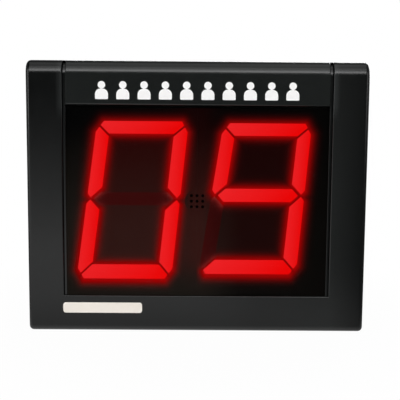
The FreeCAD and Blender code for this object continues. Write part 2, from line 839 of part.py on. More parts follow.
def make_rear_housing():
    """The back shell, whose tongue seats inside the front housing."""
    body = new_body("rear_housing")
    half, top = size("case_width / 2"), size("case_height")
    back, split = size("case_depth"), size("split_depth")

    outline = face_sketch(body, "split_depth")
    draw_box(outline, "-case_width / 2", "0", "case_width / 2", "case_height")
    pad_back(body, outline, "case_depth - split_depth")
    round_edges(
        body,
        "side_radius",
        lambda b: beside(b, half) and (flat_at(b.ZMin, b.ZMax, 0.0) or flat_at(b.ZMin, b.ZMax, top)),
    )
    bevel_edges(body, "back_bevel", lambda b: flat_at(b.YMin, b.YMax, back))
    hollow = face_sketch(body, "split_depth")
    draw_box(hollow, "-" + INNER_HALF, "wall", INNER_HALF, INNER_TOP)
    cut_back(body, hollow, "case_depth - split_depth - wall")

    for start, inset, length, pad in (
        ("split_depth", "(wall / 2)", "2 * wall", pad_back),
        ("split_depth + wall / 2", "(wall + joint_gap)", "tongue_length + wall / 2", pad_forward),
    ):
        ring = face_sketch(body, start)
        for step in (inset, "(wall + joint_gap + tongue_thickness)"):
            draw_box(
                ring,
                "-(case_width / 2 - %s)" % step,
                step,
                "(case_width / 2 - %s)" % step,
                "(case_height - %s)" % step,
            )
        pad(body, ring, length)

    recess_half = "(recess_width / 2)"
    walls = face_sketch(body, PANEL_FRONT)
    draw_box(
        walls,
        "-(%s + wall)" % recess_half,
        "wall / 2",
        "%s + wall" % recess_half,
        "recess_height + wall",
    )
    pad_back(body, walls, RECESS_DEPTH)
    recess = face_sketch(body, PANEL_BACK)
    draw_box(recess, "-" + recess_half, "-1", recess_half, "recess_height")
    cut_back(body, recess, RECESS_DEPTH + " + 1")

    panel = face_sketch(body, PANEL_FRONT)
    draw_circle(panel, "power_place", "control_height", "power_jack_diameter / 2 + control_gap")
    draw_square(panel, "remote_place", "control_height", "remote_jack_size + 2 * control_gap")
    for place in ("advance_place", "back_place"):
        draw_square(panel, place, "control_height", "button_size + 2 * control_gap")
    draw_box(
        panel,
        "volume_place - knob_width / 2 - control_gap",
        "control_height - knob_height / 2 - control_gap",
        "volume_place + volume_travel + knob_width / 2 + control_gap",
        "control_height + knob_height / 2 + control_gap",
    )
    cut_back(body, panel, "wall")

    posts = face_sketch(body, CONTROL_BACK)
    for x, height in CONTROL_SCREWS:
        draw_square(posts, x, height, "board_post_size")
    pad_back(body, posts, "%s - %s + wall / 2" % (PANEL_FRONT, CONTROL_BACK))
    pilots = face_sketch(body, CONTROL_BACK)
    for x, height in CONTROL_SCREWS:
        draw_even_polygon(pilots, x, height, "board_screw_diameter / 2 + screw_gap", SHANK_SIDES)
    cut_back(body, pilots, "board_screw_length")

    bosses = face_sketch(body, "split_depth")
    for x, height in CASE_SCREWS:
        draw_square(bosses, x, height, "case_screw_head + 2 * wall")
    pad_back(body, bosses, "case_depth - split_depth - wall / 2")
    wells = face_sketch(body, "case_depth")
    for x, height in CASE_SCREWS:
        draw_circle(wells, x, height, "case_screw_head / 2 + 3 * screw_gap")
    cut_forward(body, wells, "case_depth - case_screw_seat")
    holes = face_sketch(body, "split_depth")
    for x, height in CASE_SCREWS:
        draw_circle(holes, x, height, "case_screw_diameter / 2 + 3 * screw_gap")
    cut_back(body, holes, "case_screw_seat - split_depth")

    heads = face_sketch(body, "case_depth")
    necks = face_sketch(body, "case_depth")
    ends = face_sketch(body, "case_depth")
    for side in ("-", ""):
        centre = side + "keyhole_spacing / 2"
        draw_circle(heads, centre, KEYHOLE_HEIGHT, "keyhole_head / 2")
        draw_box(
            necks,
            centre + " - keyhole_neck / 2",
            KEYHOLE_HEIGHT,
            centre + " + keyhole_neck / 2",
            KEYHOLE_HEIGHT + " + keyhole_rise",
        )
        draw_circle(ends, centre, KEYHOLE_HEIGHT + " + keyhole_rise", "keyhole_neck / 2")
    for sketch in (heads, necks, ends):
        cut_forward(body, sketch, "wall")

    vent = face_sketch(body, "case_depth")
    first = "(-(vent_count - 1) * vent_pitch / 2)"
    draw_box(
        vent,
        first + " - vent_width / 2",
        "vent_bottom",
        first + " + vent_width / 2",
        "vent_bottom + vent_length",
    )
    slot = cut_forward(body, vent, "wall")
    vents = body.newObject("PartDesign::LinearPattern", "Vents")
    vents.Originals = [slot]
    vents.Direction = (vent, ["H_Axis"])
    bind(vents, "Length", "(vent_count - 1) * vent_pitch")
    bind(vents, "Occurrences", "vent_count")
    body.Tip = vents
    doc.recompute()
    check_feature(body, vents)

    cut_foot_seats(body, FOOT_BACK)


make_rear_housing()


# Figures: each has seven hexagonal lenses seated in the tapered light wells of its block

HALF = "((%s / 2 - figure_spare) / 2)" % OPENING_WIDTH
EDGE = "(%s - stroke)" % HALF
MITRE = "(segment_gap * sqrt(2))"
CORNER_SUM = "(corner_across + corner_down)"
FLAT_TIP = "(corner_across * corner_down / %s)" % CORNER_SUM
SIDE_TIP = "(corner_across * (corner_down - %s) / %s)" % (MITRE, CORNER_SUM)
CENTRE = {
    "tens": "(tens_inset - %s / 2)" % OPENING_WIDTH,
    "units": "(%s / 2 - units_inset)" % OPENING_WIDTH,
}
MIDDLE = {figure: "(%s + %s_lift)" % (OPENING_MIDDLE, figure) for figure in CENTRE}
UPPER = {
    figure: "(%s - %s_above - %s)" % (OPENING_TOP, figure, middle)
    for figure, middle in MIDDLE.items()
}
LOWER = {
    figure: "(%s - %s - %s_below)" % (middle, OPENING_BOTTOM, figure)
    for figure, middle in MIDDLE.items()
}


def flat_segment(reach, thickness):
    """Corners of the top segment, whose outer edge lies at the reach above the waist."""
    right = [
        ("(%s - corner_across)" % HALF, "(%s)" % reach),
        ("(%s - %s)" % (HALF, FLAT_TIP), "(%s - %s)" % (reach, FLAT_TIP)),
        (EDGE, "(%s - %s)" % (reach, thickness)),
    ]
    return right + [("-" + u, v) for u, v in reversed(right)]


def side_segment(reach, thickness):
    """Corners of the upper right segment, a mitred gap below the top one."""
    return [
        (EDGE, "(%s - %s - %s)" % (reach, thickness, MITRE)),
        ("(%s - %s)" % (HALF, SIDE_TIP), "(%s - %s - %s)" % (reach, SIDE_TIP, MITRE)),
        (HALF, "(%s - corner_down)" % reach),
        (HALF, "waist_cut"),
        ("(%s - waist_inset)" % HALF, "(segment_gap / 2)"),
        (EDGE, "(segment_gap / 2 + stroke - waist_inset)"),
    ]


def waist_segment():
    """Corners of the middle segment, which lies across the waist."""
    tip = "(%s - waist_inset + segment_gap / 2 - waist_gap * sqrt(2))" % HALF
    shoulder = "(%s - waist_stroke / 2)" % tip
    right = [(shoulder, "(waist_stroke / 2)"), (tip, "0"), (shoulder, "-(waist_stroke / 2)")]
    return right + [("-" + u, "-" + v) for u, v in right]


def flat_thickness(letter):
    """The size that gives the thickness of the flat segment at a segment's end of the figure."""
    return "head_stroke" if letter in "abf" else "foot_stroke"


def segment_corners(letter, figure):
    """One segment's outline, upright and measured from the middle of the figure's waist."""
    reach = (UPPER if letter in "abf" else LOWER)[figure]
    if letter == "g":
        return waist_segment()
    draw = flat_segment if letter in "ad" else side_segment
    corners = draw(reach, flat_thickness(letter))
    left = "-" if letter in "ef" else ""
    down = "-" if letter in "cde" else ""
    return [(left + u if left else u, down + v if down else v) for u, v in corners]


def in_place(figure, u, v):
    """Case coordinates of a point that is given upright, from the middle of the waist.

    The figure widens from its head to its foot by its spread, and leans by the slant.
    """
    rise = "(%s + %s)" % (UPPER[figure], LOWER[figure])
    widened = "(%s) * (1 - %s_spread * (%s) / (2 * %s * %s))" % (u, figure, v, HALF, rise)
    return (
        "%s + %s + tan(digit_slant) * (%s)" % (CENTRE[figure], widened, v),
        "%s + (%s)" % (MIDDLE[figure], v),
    )


def upright_outline(label, figure, corners):
    """A sketch of the outline on the block's front, with its corners in place."""
    outline = doc.addObject("Sketcher::SketchObject", "%s_%s" % (figure, label))
    draw_polygon(outline, [in_place(figure, u, v) for u, v in corners])
    outline.Placement.Rotation = FreeCAD.Rotation(FreeCAD.Vector(1, 0, 0), 90)
    return outline


def swollen(outline, distance):
    """The outline moved outwards by a distance, with sharp corners."""
    offset = doc.addObject("Part::Offset2D", "Swollen")
    offset.Source = outline
    offset.Join = 2
    bind(offset, "Value", distance)
    return offset


def island_corners(figure, letter):
    """The space that four segments enclose, drawn in by a wall all round."""
    reach, down = (UPPER[figure], "") if letter == "a" else (LOWER[figure], "-")
    u = "(%s - wall)" % EDGE
    low = "%s(waist_stroke / 2 + wall)" % down
    high = "%s(%s - %s - wall)" % (down, reach, flat_thickness(letter))
    return [("-" + u, low), (u, low), (u, high), ("-" + u, high)]


def drawn_back(outline, length, taper="0"):
    """The outline drawn backwards, closing in by the taper's angle."""
    solid = doc.addObject("Part::Extrusion", "Drawn")
    solid.Base = outline
    solid.DirMode = "Custom"
    solid.Dir = FreeCAD.Vector(0, 1, 0)
    solid.Solid = True
    bind(solid, "LengthFwd", length)
    bind(solid, "TaperAngle", taper)
    return solid


BLOCK_WIDTH = "(%s / 2 - block_margin - block_gap / 2)" % OPENING_WIDTH
BLOCK_RISE = "(%s - %s - 2 * block_margin)" % (OPENING_TOP, OPENING_BOTTOM)


def block_pins(centre):
    """Places of a block's two locating pins, at its upper left and lower right."""
    reach = "(%s / 2 - block_pin_inset)" % BLOCK_WIDTH
    climb = "(%s / 2 - block_pin_inset)" % BLOCK_RISE
    return [
        ("%s - %s" % (centre, reach), "%s + %s" % (OPENING_MIDDLE, climb)),
        ("%s + %s" % (centre, reach), "%s - %s" % (OPENING_MIDDLE, climb)),
    ]


def make_figure(figure, outer_sign):
    """A figure's block with its light wells, and the seven lenses in them."""
    cutters = []
    for letter in "abcdefg":
        outline = upright_outline(letter, figure, segment_corners(letter, figure))
        lens = drawn_back(outline, "lens_thickness")
        finish_piece("%s_segment_%s" % (figure, letter), lens, depth="block_front")
        seat = drawn_back(swollen(outline, "lens_gap"), "lens_thickness")
        bind(seat, "Placement.Base.y", "block_front")
        well = drawn_back(
            swollen(outline, "-well_ledge"), "block_thickness - lens_thickness", "-well_taper"
        )
        bind(well, "Placement.Base.y", "block_front + lens_thickness")
        cutters += [seat, well]
    for letter in "ad":
        island = upright_outline("island_" + letter, figure, island_corners(figure, letter))
        hollow = drawn_back(island, "block_thickness - block_wall")
        bind(hollow, "Placement.Base.y", "block_front + block_wall")
        cutters.append(hollow)

    centre = "%s(%s / 2 + block_gap / 2)" % (outer_sign, BLOCK_WIDTH)
    slab = block(
        centre, "block_front", OPENING_MIDDLE, BLOCK_WIDTH, "block_thickness", BLOCK_RISE
    )
    pins = [
        block(x, BOARD_FRONT + " - 1", height, "block_pin_size", "block_pin_length + 1", "block_pin_size")
        for x, height in block_pins(centre)
    ]
    bay = rod(
        "0",
        "block_front - 1",
        OPENING_MIDDLE,
        "sounder_diameter + 2 * sounder_gap",
        "block_thickness + 2",
    )
    finish_piece("%s_block" % figure, cut_from(fused([slab] + pins), cutters + [bay]))


make_figure("tens", "-")
make_figure("units", "")


# Light-emitting diodes on the digit board, three along each segment

LAMPS_PER_SEGMENT = 3


def lamp_places(letter, figure):
    """Centres of one segment's lamps, evenly spaced along its middle line."""
    reach = (UPPER if letter in "abf" else LOWER)[figure]
    down = "-" if letter in "cde" else ""
    left = "-" if letter in "ef" else ""
    thickness = flat_thickness(letter)
    places = []
    for number in range(LAMPS_PER_SEGMENT):
        share = (number + 0.5) / LAMPS_PER_SEGMENT
        if letter in "adg":
            u = "(%.3f * (%s - lamp_end))" % (2 * share - 1, EDGE)
            v = "0" if letter == "g" else "%s(%s - %s / 2)" % (down, reach, thickness)
        else:
            run = "(%s - waist_stroke - %s)" % (reach, thickness)
            u = "%s(%s - stroke / 2)" % (left, HALF)
            v = "%s(waist_stroke + %.3f * %s)" % (down, share, run)
        places.append(in_place(figure, u, v))
    return places


def make_lamps(figure):
    """The figure's lamps, small square packages that face forwards."""
    depth = BOARD_FRONT + " - lamp_thickness"
    lamps = [
        block(x, depth, height, "lamp_size", "lamp_thickness", "lamp_size")
        for letter in "abcdefg"
        for x, height in lamp_places(letter, figure)
    ]
    finish_piece("%s_lamps" % figure, grouped(lamps))


make_lamps("tens")
make_lamps("units")


# Boards and what is soldered to them

DIGIT_BACK = "(%s + board_thickness)" % BOARD_FRONT


def make_digit_board():
    """The upright board behind both figures."""
    body = new_body("digit_board")
    outline = face_sketch(body, BOARD_FRONT)
    draw_box(outline, "-" + BOARD_HALF, BOARD_LOW, BOARD_HALF, BOARD_HIGH)
    pad_back(body, outline, "board_thickness")
    holes = face_sketch(body, BOARD_FRONT)
    for x, height in BOARD_SCREWS:
        draw_circle(holes, x, height, "board_hole_diameter / 2")
    for side in ("-", ""):
        for x, height in block_pins("%s(%s / 2 + block_gap / 2)" % (side, BLOCK_WIDTH)):
            draw_square(holes, x, height, "block_pin_size + 2 * pin_gap")
    cut_back(body, holes, "board_thickness")


def make_control_board():
    """The board behind the connection recess."""
    body = new_body("control_board")
    outline = face_sketch(body, CONTROL_FRONT)
    draw_box(
        outline,
        "-control_board_width / 2",
        "control_board_bottom",
        "control_board_width / 2",
        "control_board_bottom + control_board_height",
    )
    pad_back(body, outline, "board_thickness")
    holes = face_sketch(body, CONTROL_FRONT)
    for x, height in CONTROL_SCREWS:
        draw_circle(holes, x, height, "board_hole_diameter / 2")
    cut_back(body, holes, "board_thickness")


make_digit_board()
make_control_board()


def make_chip(label, x, height, length, width, count):
    """A chip on the back of the digit board, with a row of leads on each long side."""
    parts = [block(x, DIGIT_BACK + " + chip_stand", height, length, "chip_thickness", width)]
    for number in range(count):
        along = "%s + %.3f * (%s)" % (x, (number + 0.5) / count - 0.5, length)
        parts.append(
            block(along, DIGIT_BACK, height, "lead_width", "2 * chip_stand", width + " + 2 * lead_reach")
        )
    return finish_piece(label, fused(parts))


for name, x in CENTRE.items():
    make_chip(name + "_driver", x, "chip_height", "driver_length", "driver_width", 6)
make_chip("microcontroller", "0", "chip_height", "controller_length", "controller_width", 7)


def make_supply():
    """The capacitors, the regulator and its finned heat sink, behind the digit board."""
    cans = [
        rod(
            "capacitor_place + %s capacitor_diameter" % side,
            DIGIT_BACK,
            "supply_height",
            "capacitor_diameter",
            "capacitor_length",
        )
        for side in ("0 *", "1.2 *")
    ]
    finish_piece("storage_capacitors", grouped(cans))

    finish_piece(
        "voltage_regulator",
        fused(
            [
                block(
                    "regulator_place",
                    DIGIT_BACK + " + regulator_stand",
                    "supply_height",
                    "regulator_width",
                    "regulator_length",
                    "regulator_thickness",
                ),
                block(
                    "regulator_place",
                    DIGIT_BACK,
                    "supply_height",
                    "regulator_width / 2",
                    "regulator_stand + 1",
                    "lead_width",
                ),
            ]
        ),
    )

    body = new_body("heat_sink")
    outline = plan_sketch(body, "supply_height + regulator_thickness / 2")
    draw_box(
        outline,
        "regulator_place - sink_width / 2",
        DIGIT_BACK + " + regulator_stand",
        "regulator_place + sink_width / 2",
        DIGIT_BACK + " + regulator_stand + sink_length",
    )
    pad_forward(body, outline, "sink_height")
    channels = plan_sketch(body, "supply_height + regulator_thickness / 2 + sink_base")
    pitch = "((sink_width - sink_fin) / sink_channels)"
    for number in range(round(size("sink_channels"))):
        start = "regulator_place - sink_width / 2 + sink_fin + %d * %s" % (number, pitch)
        draw_box(
            channels,
            start,
            DIGIT_BACK + " + regulator_stand - 1",
            start + " + %s - sink_fin" % pitch,
            DIGIT_BACK + " + regulator_stand + sink_length + 1",
        )
    cut_forward(body, channels, "sink_height - sink_base")


make_supply()


def make_board_link():
    """The stacking connector that joins the two boards."""
    strip = block(
        "0", DIGIT_BACK, "link_height", "link_length", "board_spacing", "link_width"
    )
    finish_piece("board_link", grouped([strip]))


make_board_link()


def make_sounder():
    """The round sounder behind the sound holes, between the two figures."""
    depth = "(block_front + sounder_recess)"
    can = rod("0", depth, OPENING_MIDDLE, "sounder_diameter", BOARD_FRONT + " - " + depth)
    port = rod("0", depth + " - 1", OPENING_MIDDLE, "sounder_port", "sounder_port_depth + 1")
    finish_piece("sounder", cut_from(can, [port]))


make_sounder()


# Connections and controls on the control board, which reach through the recess panel

JACK_LENGTH = "(%s + jack_proud - %s)" % (PANEL_BACK, CONTROL_BACK)


def make_power_jack():
    """The round power jack with its centre pin."""
    barrel = rod("power_place", CONTROL_BACK, "control_height", "power_jack_diameter", JACK_LENGTH)
    bore = rod(
        "power_place",
        CONTROL_BACK + " + jack_wall",
        "control_height",
        "power_bore",
        JACK_LENGTH,
    )
    pin = rod(
        "power_place",
        CONTROL_BACK + " + jack_wall / 2",
        "control_height",
        "power_pin",
        JACK_LENGTH + " - jack_wall",
    )
    base = block(
        "power_place",
        CONTROL_BACK,
        "control_height",
        "power_jack_diameter + 1",
        "2 * jack_wall",
        "power_jack_diameter + 1",
    )
    shell = cut_from(fused([barrel, base]), [bore])
    finish_piece("power_jack", fused([shell, pin]))


def make_remote_jack():
    """The modular jack for a wired hand button, and its four contacts."""
    shell = block(
        "remote_place",
        CONTROL_BACK,
        "control_height",
        "remote_jack_size",
        JACK_LENGTH,
        "remote_jack_size",
    )
    mouth = block(
        "remote_place",
        CONTROL_BACK + " + jack_wall",
        "control_height",
        "remote_mouth_width",
        JACK_LENGTH,
        "remote_mouth_height",
    )
    latch = block(
        "remote_place",
        CONTROL_BACK + " + jack_wall",
        "control_height - remote_mouth_height / 2",
        "remote_mouth_width / 2",
        JACK_LENGTH,
        "2 * latch_depth",
    )
    finish_piece("remote_jack", cut_from(shell, [mouth, latch]))
    contacts = [
        block(
            "remote_place + %.1f * contact_pitch" % place,
            CONTROL_BACK + " + jack_wall",
            "control_height + remote_mouth_height / 2 - contact_width / 2",
            "contact_width",
            JACK_LENGTH + " - 2 * jack_wall",
            "contact_width",
        )
        for place in (-1.5, -0.5, 0.5, 1.5)
    ]
    finish_piece("remote_jack_contacts", grouped(contacts))


make_power_jack()
make_remote_jack()


def make_push_button(name):
    """A push switch on the board, its plunger, and the cap that goes through the panel."""
    place = name + "_place"
    finish_piece(
        name + "_switch",
        cut_from(
            block(
                place,
                CONTROL_BACK,
                "control_height",
                "switch_size",
                "switch_thickness",
                "switch_size",
            ),
            [
                block(
                    place,
                    CONTROL_BACK + " + jack_wall / 2",
                    "control_height",
                    "plunger_size + 2 * control_gap",
                    "switch_thickness",
                    "plunger_size + 2 * control_gap",
                )
            ],
        ),
    )
    plunger_foot = CONTROL_BACK + " + jack_wall / 2 + button_travel + control_gap"
    flange_front = "(%s - button_flange - control_gap)" % PANEL_FRONT
    finish_piece(
        name + "_plunger",
        grouped(
            [
                block(
                    place,
                    plunger_foot,
                    "control_height",
                    "plunger_size",
                    "%s - (%s)" % (flange_front, plunger_foot),
                    "plunger_size",
                )
            ]
        ),
    )
    body = new_body(name + "_button")
    flange = face_sketch(body, flange_front)
    draw_square(flange, place, "control_height", "button_size + 2 * button_skirt")
    pad_back(body, flange, "button_flange")
    cap = face_sketch(body, flange_front + " + button_flange / 2")
    draw_square(cap, place, "control_height", "button_size")
    pad_back(body, cap, "%s + button_proud - %s - button_flange / 2" % (PANEL_BACK, flange_front))
    crown = size(PANEL_BACK + " + button_proud")
    bevel_edges(body, "button_bevel", lambda b: flat_at(b.YMin, b.YMax, crown))


make_push_button("advance")
make_push_button("back")


def make_volume_switch():
    """The slide switch for the sounder, and its knob, at the near end of its travel."""
    middle = "(volume_place + volume_travel / 2)"
    shell = block(
        middle,
        CONTROL_BACK,
        "control_height",
        "slider_length",
        "slider_thickness",
        "slider_height",
    )
    track = block(
        middle,
        CONTROL_BACK + " + jack_wall",
        "control_height",
        "volume_travel + knob_width + 2 * control_gap",
        "slider_thickness",
        "knob_height + 2 * control_gap",
    )
    finish_piece("volume_switch", cut_from(shell, [track]))
    foot = CONTROL_BACK + " + jack_wall + control_gap"
    body = new_body("volume_knob")
    outline = face_sketch(body, foot)
    draw_box(
        outline,
        "volume_place - knob_width / 2",
        "control_height - knob_height / 2",
        "volume_place + knob_width / 2",
        "control_height + knob_height / 2",
    )
    pad_back(body, outline, "%s + knob_proud - (%s)" % (PANEL_BACK, foot))
    tip = size(PANEL_BACK + " + knob_proud")
    bevel_edges(body, "knob_bevel", lambda b: flat_at(b.YMin, b.YMax, tip))


make_volume_switch()


# Fastenings and feet


def make_screws(label, places, seat, diameter, length, head, head_thickness, backwards=False):
    """Identical round-headed screws with six-sided shanks, which point forwards unless told."""
    screws = []
    for x, height in places:
        start = "%s - %s" % (seat, head_thickness if backwards else length)
        tip = seat if backwards else start
        shank = even_bar(x, tip, height, diameter, length, SHANK_SIDES)
        cap = rod(x, start if backwards else seat, height, head, head_thickness)
        screws.append(fused([shank, cap]))
    finish_piece(label, grouped(screws))


make_screws(
    "case_screws",
    CASE_SCREWS,
    "case_screw_seat",
    "case_screw_diameter",
    "case_screw_length",
    "case_screw_head",
    "screw_head_thickness",
)
make_screws(
    "digit_board_screws",
    BOARD_SCREWS,
    DIGIT_BACK,
    "board_screw_diameter",
    "board_screw_length",
    "board_screw_head",
    "screw_head_thickness",
)
make_screws(
    "control_board_screws",
    CONTROL_SCREWS,
    CONTROL_FRONT,
    "board_screw_diameter",
    "board_screw_length",
    "board_screw_head",
    "screw_head_thickness",
    backwards=True,
)


def make_feet():
    """Four rubber feet, seated in the underside of the two housings."""
    feet = [
        block(
            side + FOOT_X,
            depth + " - foot_size / 2",
            "foot_thickness / 2 - foot_proud",
            "foot_size",
            "foot_size",
            "foot_thickness",
        )
        for side in ("-", "")
        for depth in ("foot_front", FOOT_BACK)
    ]
    finish_piece("rubber_feet", grouped(feet))


make_feet()


# Every object is checked before any piece is written

doc.recompute()
for item in doc.Objects:
    if {"Invalid", "Error"} & set(item.State):
        raise RuntimeError("%s (%s) was not worked out: %s" % (item.Label, item.Name, item.State))
for label, piece in pieces.items():
    if piece.Shape.isNull() or not piece.Shape.isValid():
        raise RuntimeError("%s has no valid shape" % label)
os.makedirs("parts", exist_ok=True)
for label, piece in pieces.items():
    piece.Shape.exportStep("parts/%s.step" % label)
print("%d pieces" % len(pieces))
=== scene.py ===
"""Looks for the two-digit queue number display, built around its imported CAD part.

Its frame is the part's own: x to the reader's right, -y out of the front face, z up from the
surface that the display stands on. Lengths are in metres, and small ones are written in millimetres
times MM. The sections on the figures, the film and the marks work in millimetres, and turn them
into metres as they make each piece.
"""

import json
import math

import bpy
import numpy as np
from mathutils import Matrix, Vector


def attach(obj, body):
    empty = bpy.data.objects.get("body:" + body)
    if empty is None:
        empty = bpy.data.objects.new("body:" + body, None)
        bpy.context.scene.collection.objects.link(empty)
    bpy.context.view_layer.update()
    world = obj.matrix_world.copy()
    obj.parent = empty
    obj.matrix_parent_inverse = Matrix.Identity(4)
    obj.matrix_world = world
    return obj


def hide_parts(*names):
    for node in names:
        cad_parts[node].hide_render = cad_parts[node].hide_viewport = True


MM = 0.001

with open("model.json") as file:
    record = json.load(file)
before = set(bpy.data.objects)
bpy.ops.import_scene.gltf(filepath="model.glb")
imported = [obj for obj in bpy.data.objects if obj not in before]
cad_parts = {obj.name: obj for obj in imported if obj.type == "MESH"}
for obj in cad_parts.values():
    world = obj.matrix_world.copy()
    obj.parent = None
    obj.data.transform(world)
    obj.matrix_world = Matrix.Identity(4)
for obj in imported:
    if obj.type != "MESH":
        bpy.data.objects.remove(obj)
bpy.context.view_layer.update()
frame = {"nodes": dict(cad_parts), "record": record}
nodes = frame["nodes"]
scene = bpy.context.scene


# Camera: the photograph's own view, a long lens a little above the middle of the front

CAMERA_TARGET = Vector((2.366, -29.0, 110.71)) * MM
CAMERA_DISTANCE = 760 * MM
CAMERA_LEFT = math.radians(0.5007)
CAMERA_UP = math.radians(7.737)
CAMERA_ROLL = math.radians(0.468)
CAMERA_LENS = 84.31


def make_camera():
    """Looks at the target from in front, a little from the left and above, and a little rolled."""
    back = Vector(
        (
            -math.sin(CAMERA_LEFT) * math.cos(CAMERA_UP),
            -math.cos(CAMERA_LEFT) * math.cos(CAMERA_UP),
            math.sin(CAMERA_UP),
        )
    )
    level_right = (-back).cross(Vector((0, 0, 1))).normalized()
    level_up = back.cross(level_right)
    right = math.cos(CAMERA_ROLL) * level_right + math.sin(CAMERA_ROLL) * level_up
    up = math.cos(CAMERA_ROLL) * level_up - math.sin(CAMERA_ROLL) * level_right
    camera = bpy.data.objects.new("camera", bpy.data.cameras.new("camera"))
    camera.data.lens = CAMERA_LENS
    camera.data.clip_start, camera.data.clip_end = 0.01, 50
    place = CAMERA_TARGET + back * CAMERA_DISTANCE
    turn = Matrix((right, up, back)).transposed().to_4x4()
    camera.matrix_world = Matrix.Translation(place) @ turn
    scene.collection.objects.link(camera)
    scene.camera = camera


make_camera()


# Shader helpers


class Nodes:
    """A node tree with short ways to add nodes to it."""

    def __init__(self, tree):
        self.tree = tree

    def add(self, kind, inputs=None, **settings):
        """A node of that kind; inputs maps a socket to a value or to another node's output."""
        made = self.tree.nodes.new(kind)
        for name, value in settings.items():
            setattr(made, name, value)
        for socket, value in (inputs or {}).items():
            if isinstance(value, bpy.types.NodeSocket):
                self.tree.links.new(value, made.inputs[socket])
            else:
                made.inputs[socket].default_value = value
        return made

    def combined(self, operation, one, other=0.0):
        """Arithmetic on two values."""
        return self.add(
            "ShaderNodeMath", {0: one, 1: other}, operation=operation
        ).outputs[0]

    def product(self, value, *factors):
        """All the values multiplied."""
        for factor in factors:
            value = self.combined("MULTIPLY", value, factor)
        return value

    def ranged(self, value, start, end, low, high, **settings):
        """Low before the start and high after the end, with a ramp between them."""
        return self.add(
            "ShaderNodeMapRange",
            {"Value": value, "From Min": start, "From Max": end, "To Min": low, "To Max": high},
            **settings,
        ).outputs["Result"]

    def rising(self, value, ends):
        """0 before the first end and 1 after the second."""
        return self.ranged(value, *ends, 0.0, 1.0)

    def fading(self, value, ends):
        """1 before the first end and 0 after the second."""
        return self.ranged(value, *ends, 1.0, 0.0)


class Finish(Nodes):
    """A material with one Principled shader, whose patterns read Object coordinates."""

    def __init__(self, name, **plain):
        self.material = bpy.data.materials.new(name)
        self.material.use_nodes = True
        super().__init__(self.material.node_tree)
        self.shader = self.tree.nodes["Principled BSDF"]
        for socket, value in plain.items():
            self.shader.inputs[socket.replace("_", " ")].default_value = value
        self.place = None

    def drive(self, socket, output):
        """Feeds one input of the shader."""
        self.tree.links.new(output, self.shader.inputs[socket])

    def where(self):
        """Object coordinates."""
        if self.place is None:
            self.place = self.add("ShaderNodeTexCoord").outputs["Object"]
        return self.place

    def axes(self):
        """Object coordinates, one output for each axis."""
        return tuple(self.add("ShaderNodeSeparateXYZ", {"Vector": self.where()}).outputs)

    def carried(self, name):
        """A value that the mesh's points carry."""
        return self.add(
            "ShaderNodeAttribute", attribute_name=name, attribute_type="GEOMETRY"
        ).outputs["Fac"]

    def stretched(self, x, y, z):
        """Object coordinates stretched along each axis, for brushed or drawn patterns."""
        return self.add(
            "ShaderNodeMapping", {"Vector": self.where(), "Scale": (x, y, z)}
        ).outputs["Vector"]

    def noise(self, size, detail=3.0, rough=0.5, where=None):
        """Clouds whose features are about that size in metres, from 0 to 1."""
        return self.add(
            "ShaderNodeTexNoise",
            {
                "Vector": where or self.where(),
                "Scale": 1 / size,
                "Detail": detail,
                "Roughness": rough,
            },
        ).outputs["Fac"]

    def cells(self, size, feature="F1"):
        """Distance to the nearest of scattered points that lie about that far apart."""
        return self.add(
            "ShaderNodeTexVoronoi", {"Vector": self.where(), "Scale": 1 / size}, feature=feature
        ).outputs["Distance"]

    def mixed(self, share, one, other):
        """One colour at share 0 and the other at share 1."""
        first, last = (
            value if isinstance(value, bpy.types.NodeSocket) else (*value, 1)
            for value in (one, other)
        )
        return self.add(
            "ShaderNodeMix", {0: share, 6: first, 7: last}, data_type="RGBA"
        ).outputs[2]

    def bumped(self, height, distance, normal=None):
        """The surface normal tilted by a height map whose full height is the distance."""
        inputs = {"Height": height, "Distance": distance}
        if normal is not None:
            inputs["Normal"] = normal
        return self.add("ShaderNodeBump", inputs).outputs["Normal"]

    def soft_edges(self, radius):
        """The normal as if every sharp edge had a small round."""
        return self.add(
            "ShaderNodeBevel", {"Radius": radius}, samples=6
        ).outputs["Normal"]

    def edge_share(self, normal):
        """0 on flats and about 1 on the outer edges that a bevelled normal finds."""
        flat = self.add("ShaderNodeNewGeometry").outputs["Normal"]
        dot = self.add(
            "ShaderNodeVectorMath", {0: flat, 1: normal}, operation="DOT_PRODUCT"
        ).outputs["Value"]
        return self.ranged(dot, 0.985, 0.80, 0.0, 1.0)


# Between these two lie most of a noise's values
CLOUD_ENDS = (0.3, 0.7)


def moulded(name, dark, light, rough, grain_size, grain_height, wear, **plain):
    """Moulded plastic: two close shades, a fine grain, and lighter, smoother edges."""
    made = Finish(name, **plain)
    normal = made.soft_edges(0.25 * MM)
    patches = made.ranged(made.noise(4 * MM), *CLOUD_ENDS, 0.2, 1.0)
    edge = made.product(made.edge_share(normal), patches)
    cloud = made.mixed(made.noise(38 * MM, 5.0, 0.6), dark, light)
    made.drive("Base Color", made.mixed(edge, cloud, wear))
    scuff = made.noise(9 * MM, 6.0, 0.65)
    base_rough = made.ranged(scuff, *CLOUD_ENDS, rough - 0.03, rough + 0.03)
    made.drive("Roughness", made.combined("SUBTRACT", base_rough, made.ranged(edge, 0, 1, 0, 0.06)))
    grain = made.noise(grain_size, 2.0, 0.5)
    made.drive("Normal", made.bumped(grain, grain_height, normal))
    return made.material


# The case's colours: its two close shades, its worn edges, its dust, the painted shade inside its
# notches, the painted light on its pale right cheek, the painted sheen of the bands beside the
# header, and the header bar's painted sheen
CASE_DARK, CASE_LIGHT = (0.0012, 0.0017, 0.0016), (0.0017, 0.0022, 0.0021)
CASE_WORN, CASE_DUST, CASE_PAINTED_SHADE = (0.016, 0.017, 0.017), (0.16, 0.16, 0.155), (0.0004,) * 3
CHEEK_PAINTED_LIGHT, BAND_PAINTED_SHEEN = (0.0105, 0.0118, 0.0114), (0.024, 0.026, 0.026)
HEADER_PAINTED_SHEEN = (0.0076, 0.0092, 0.0087)

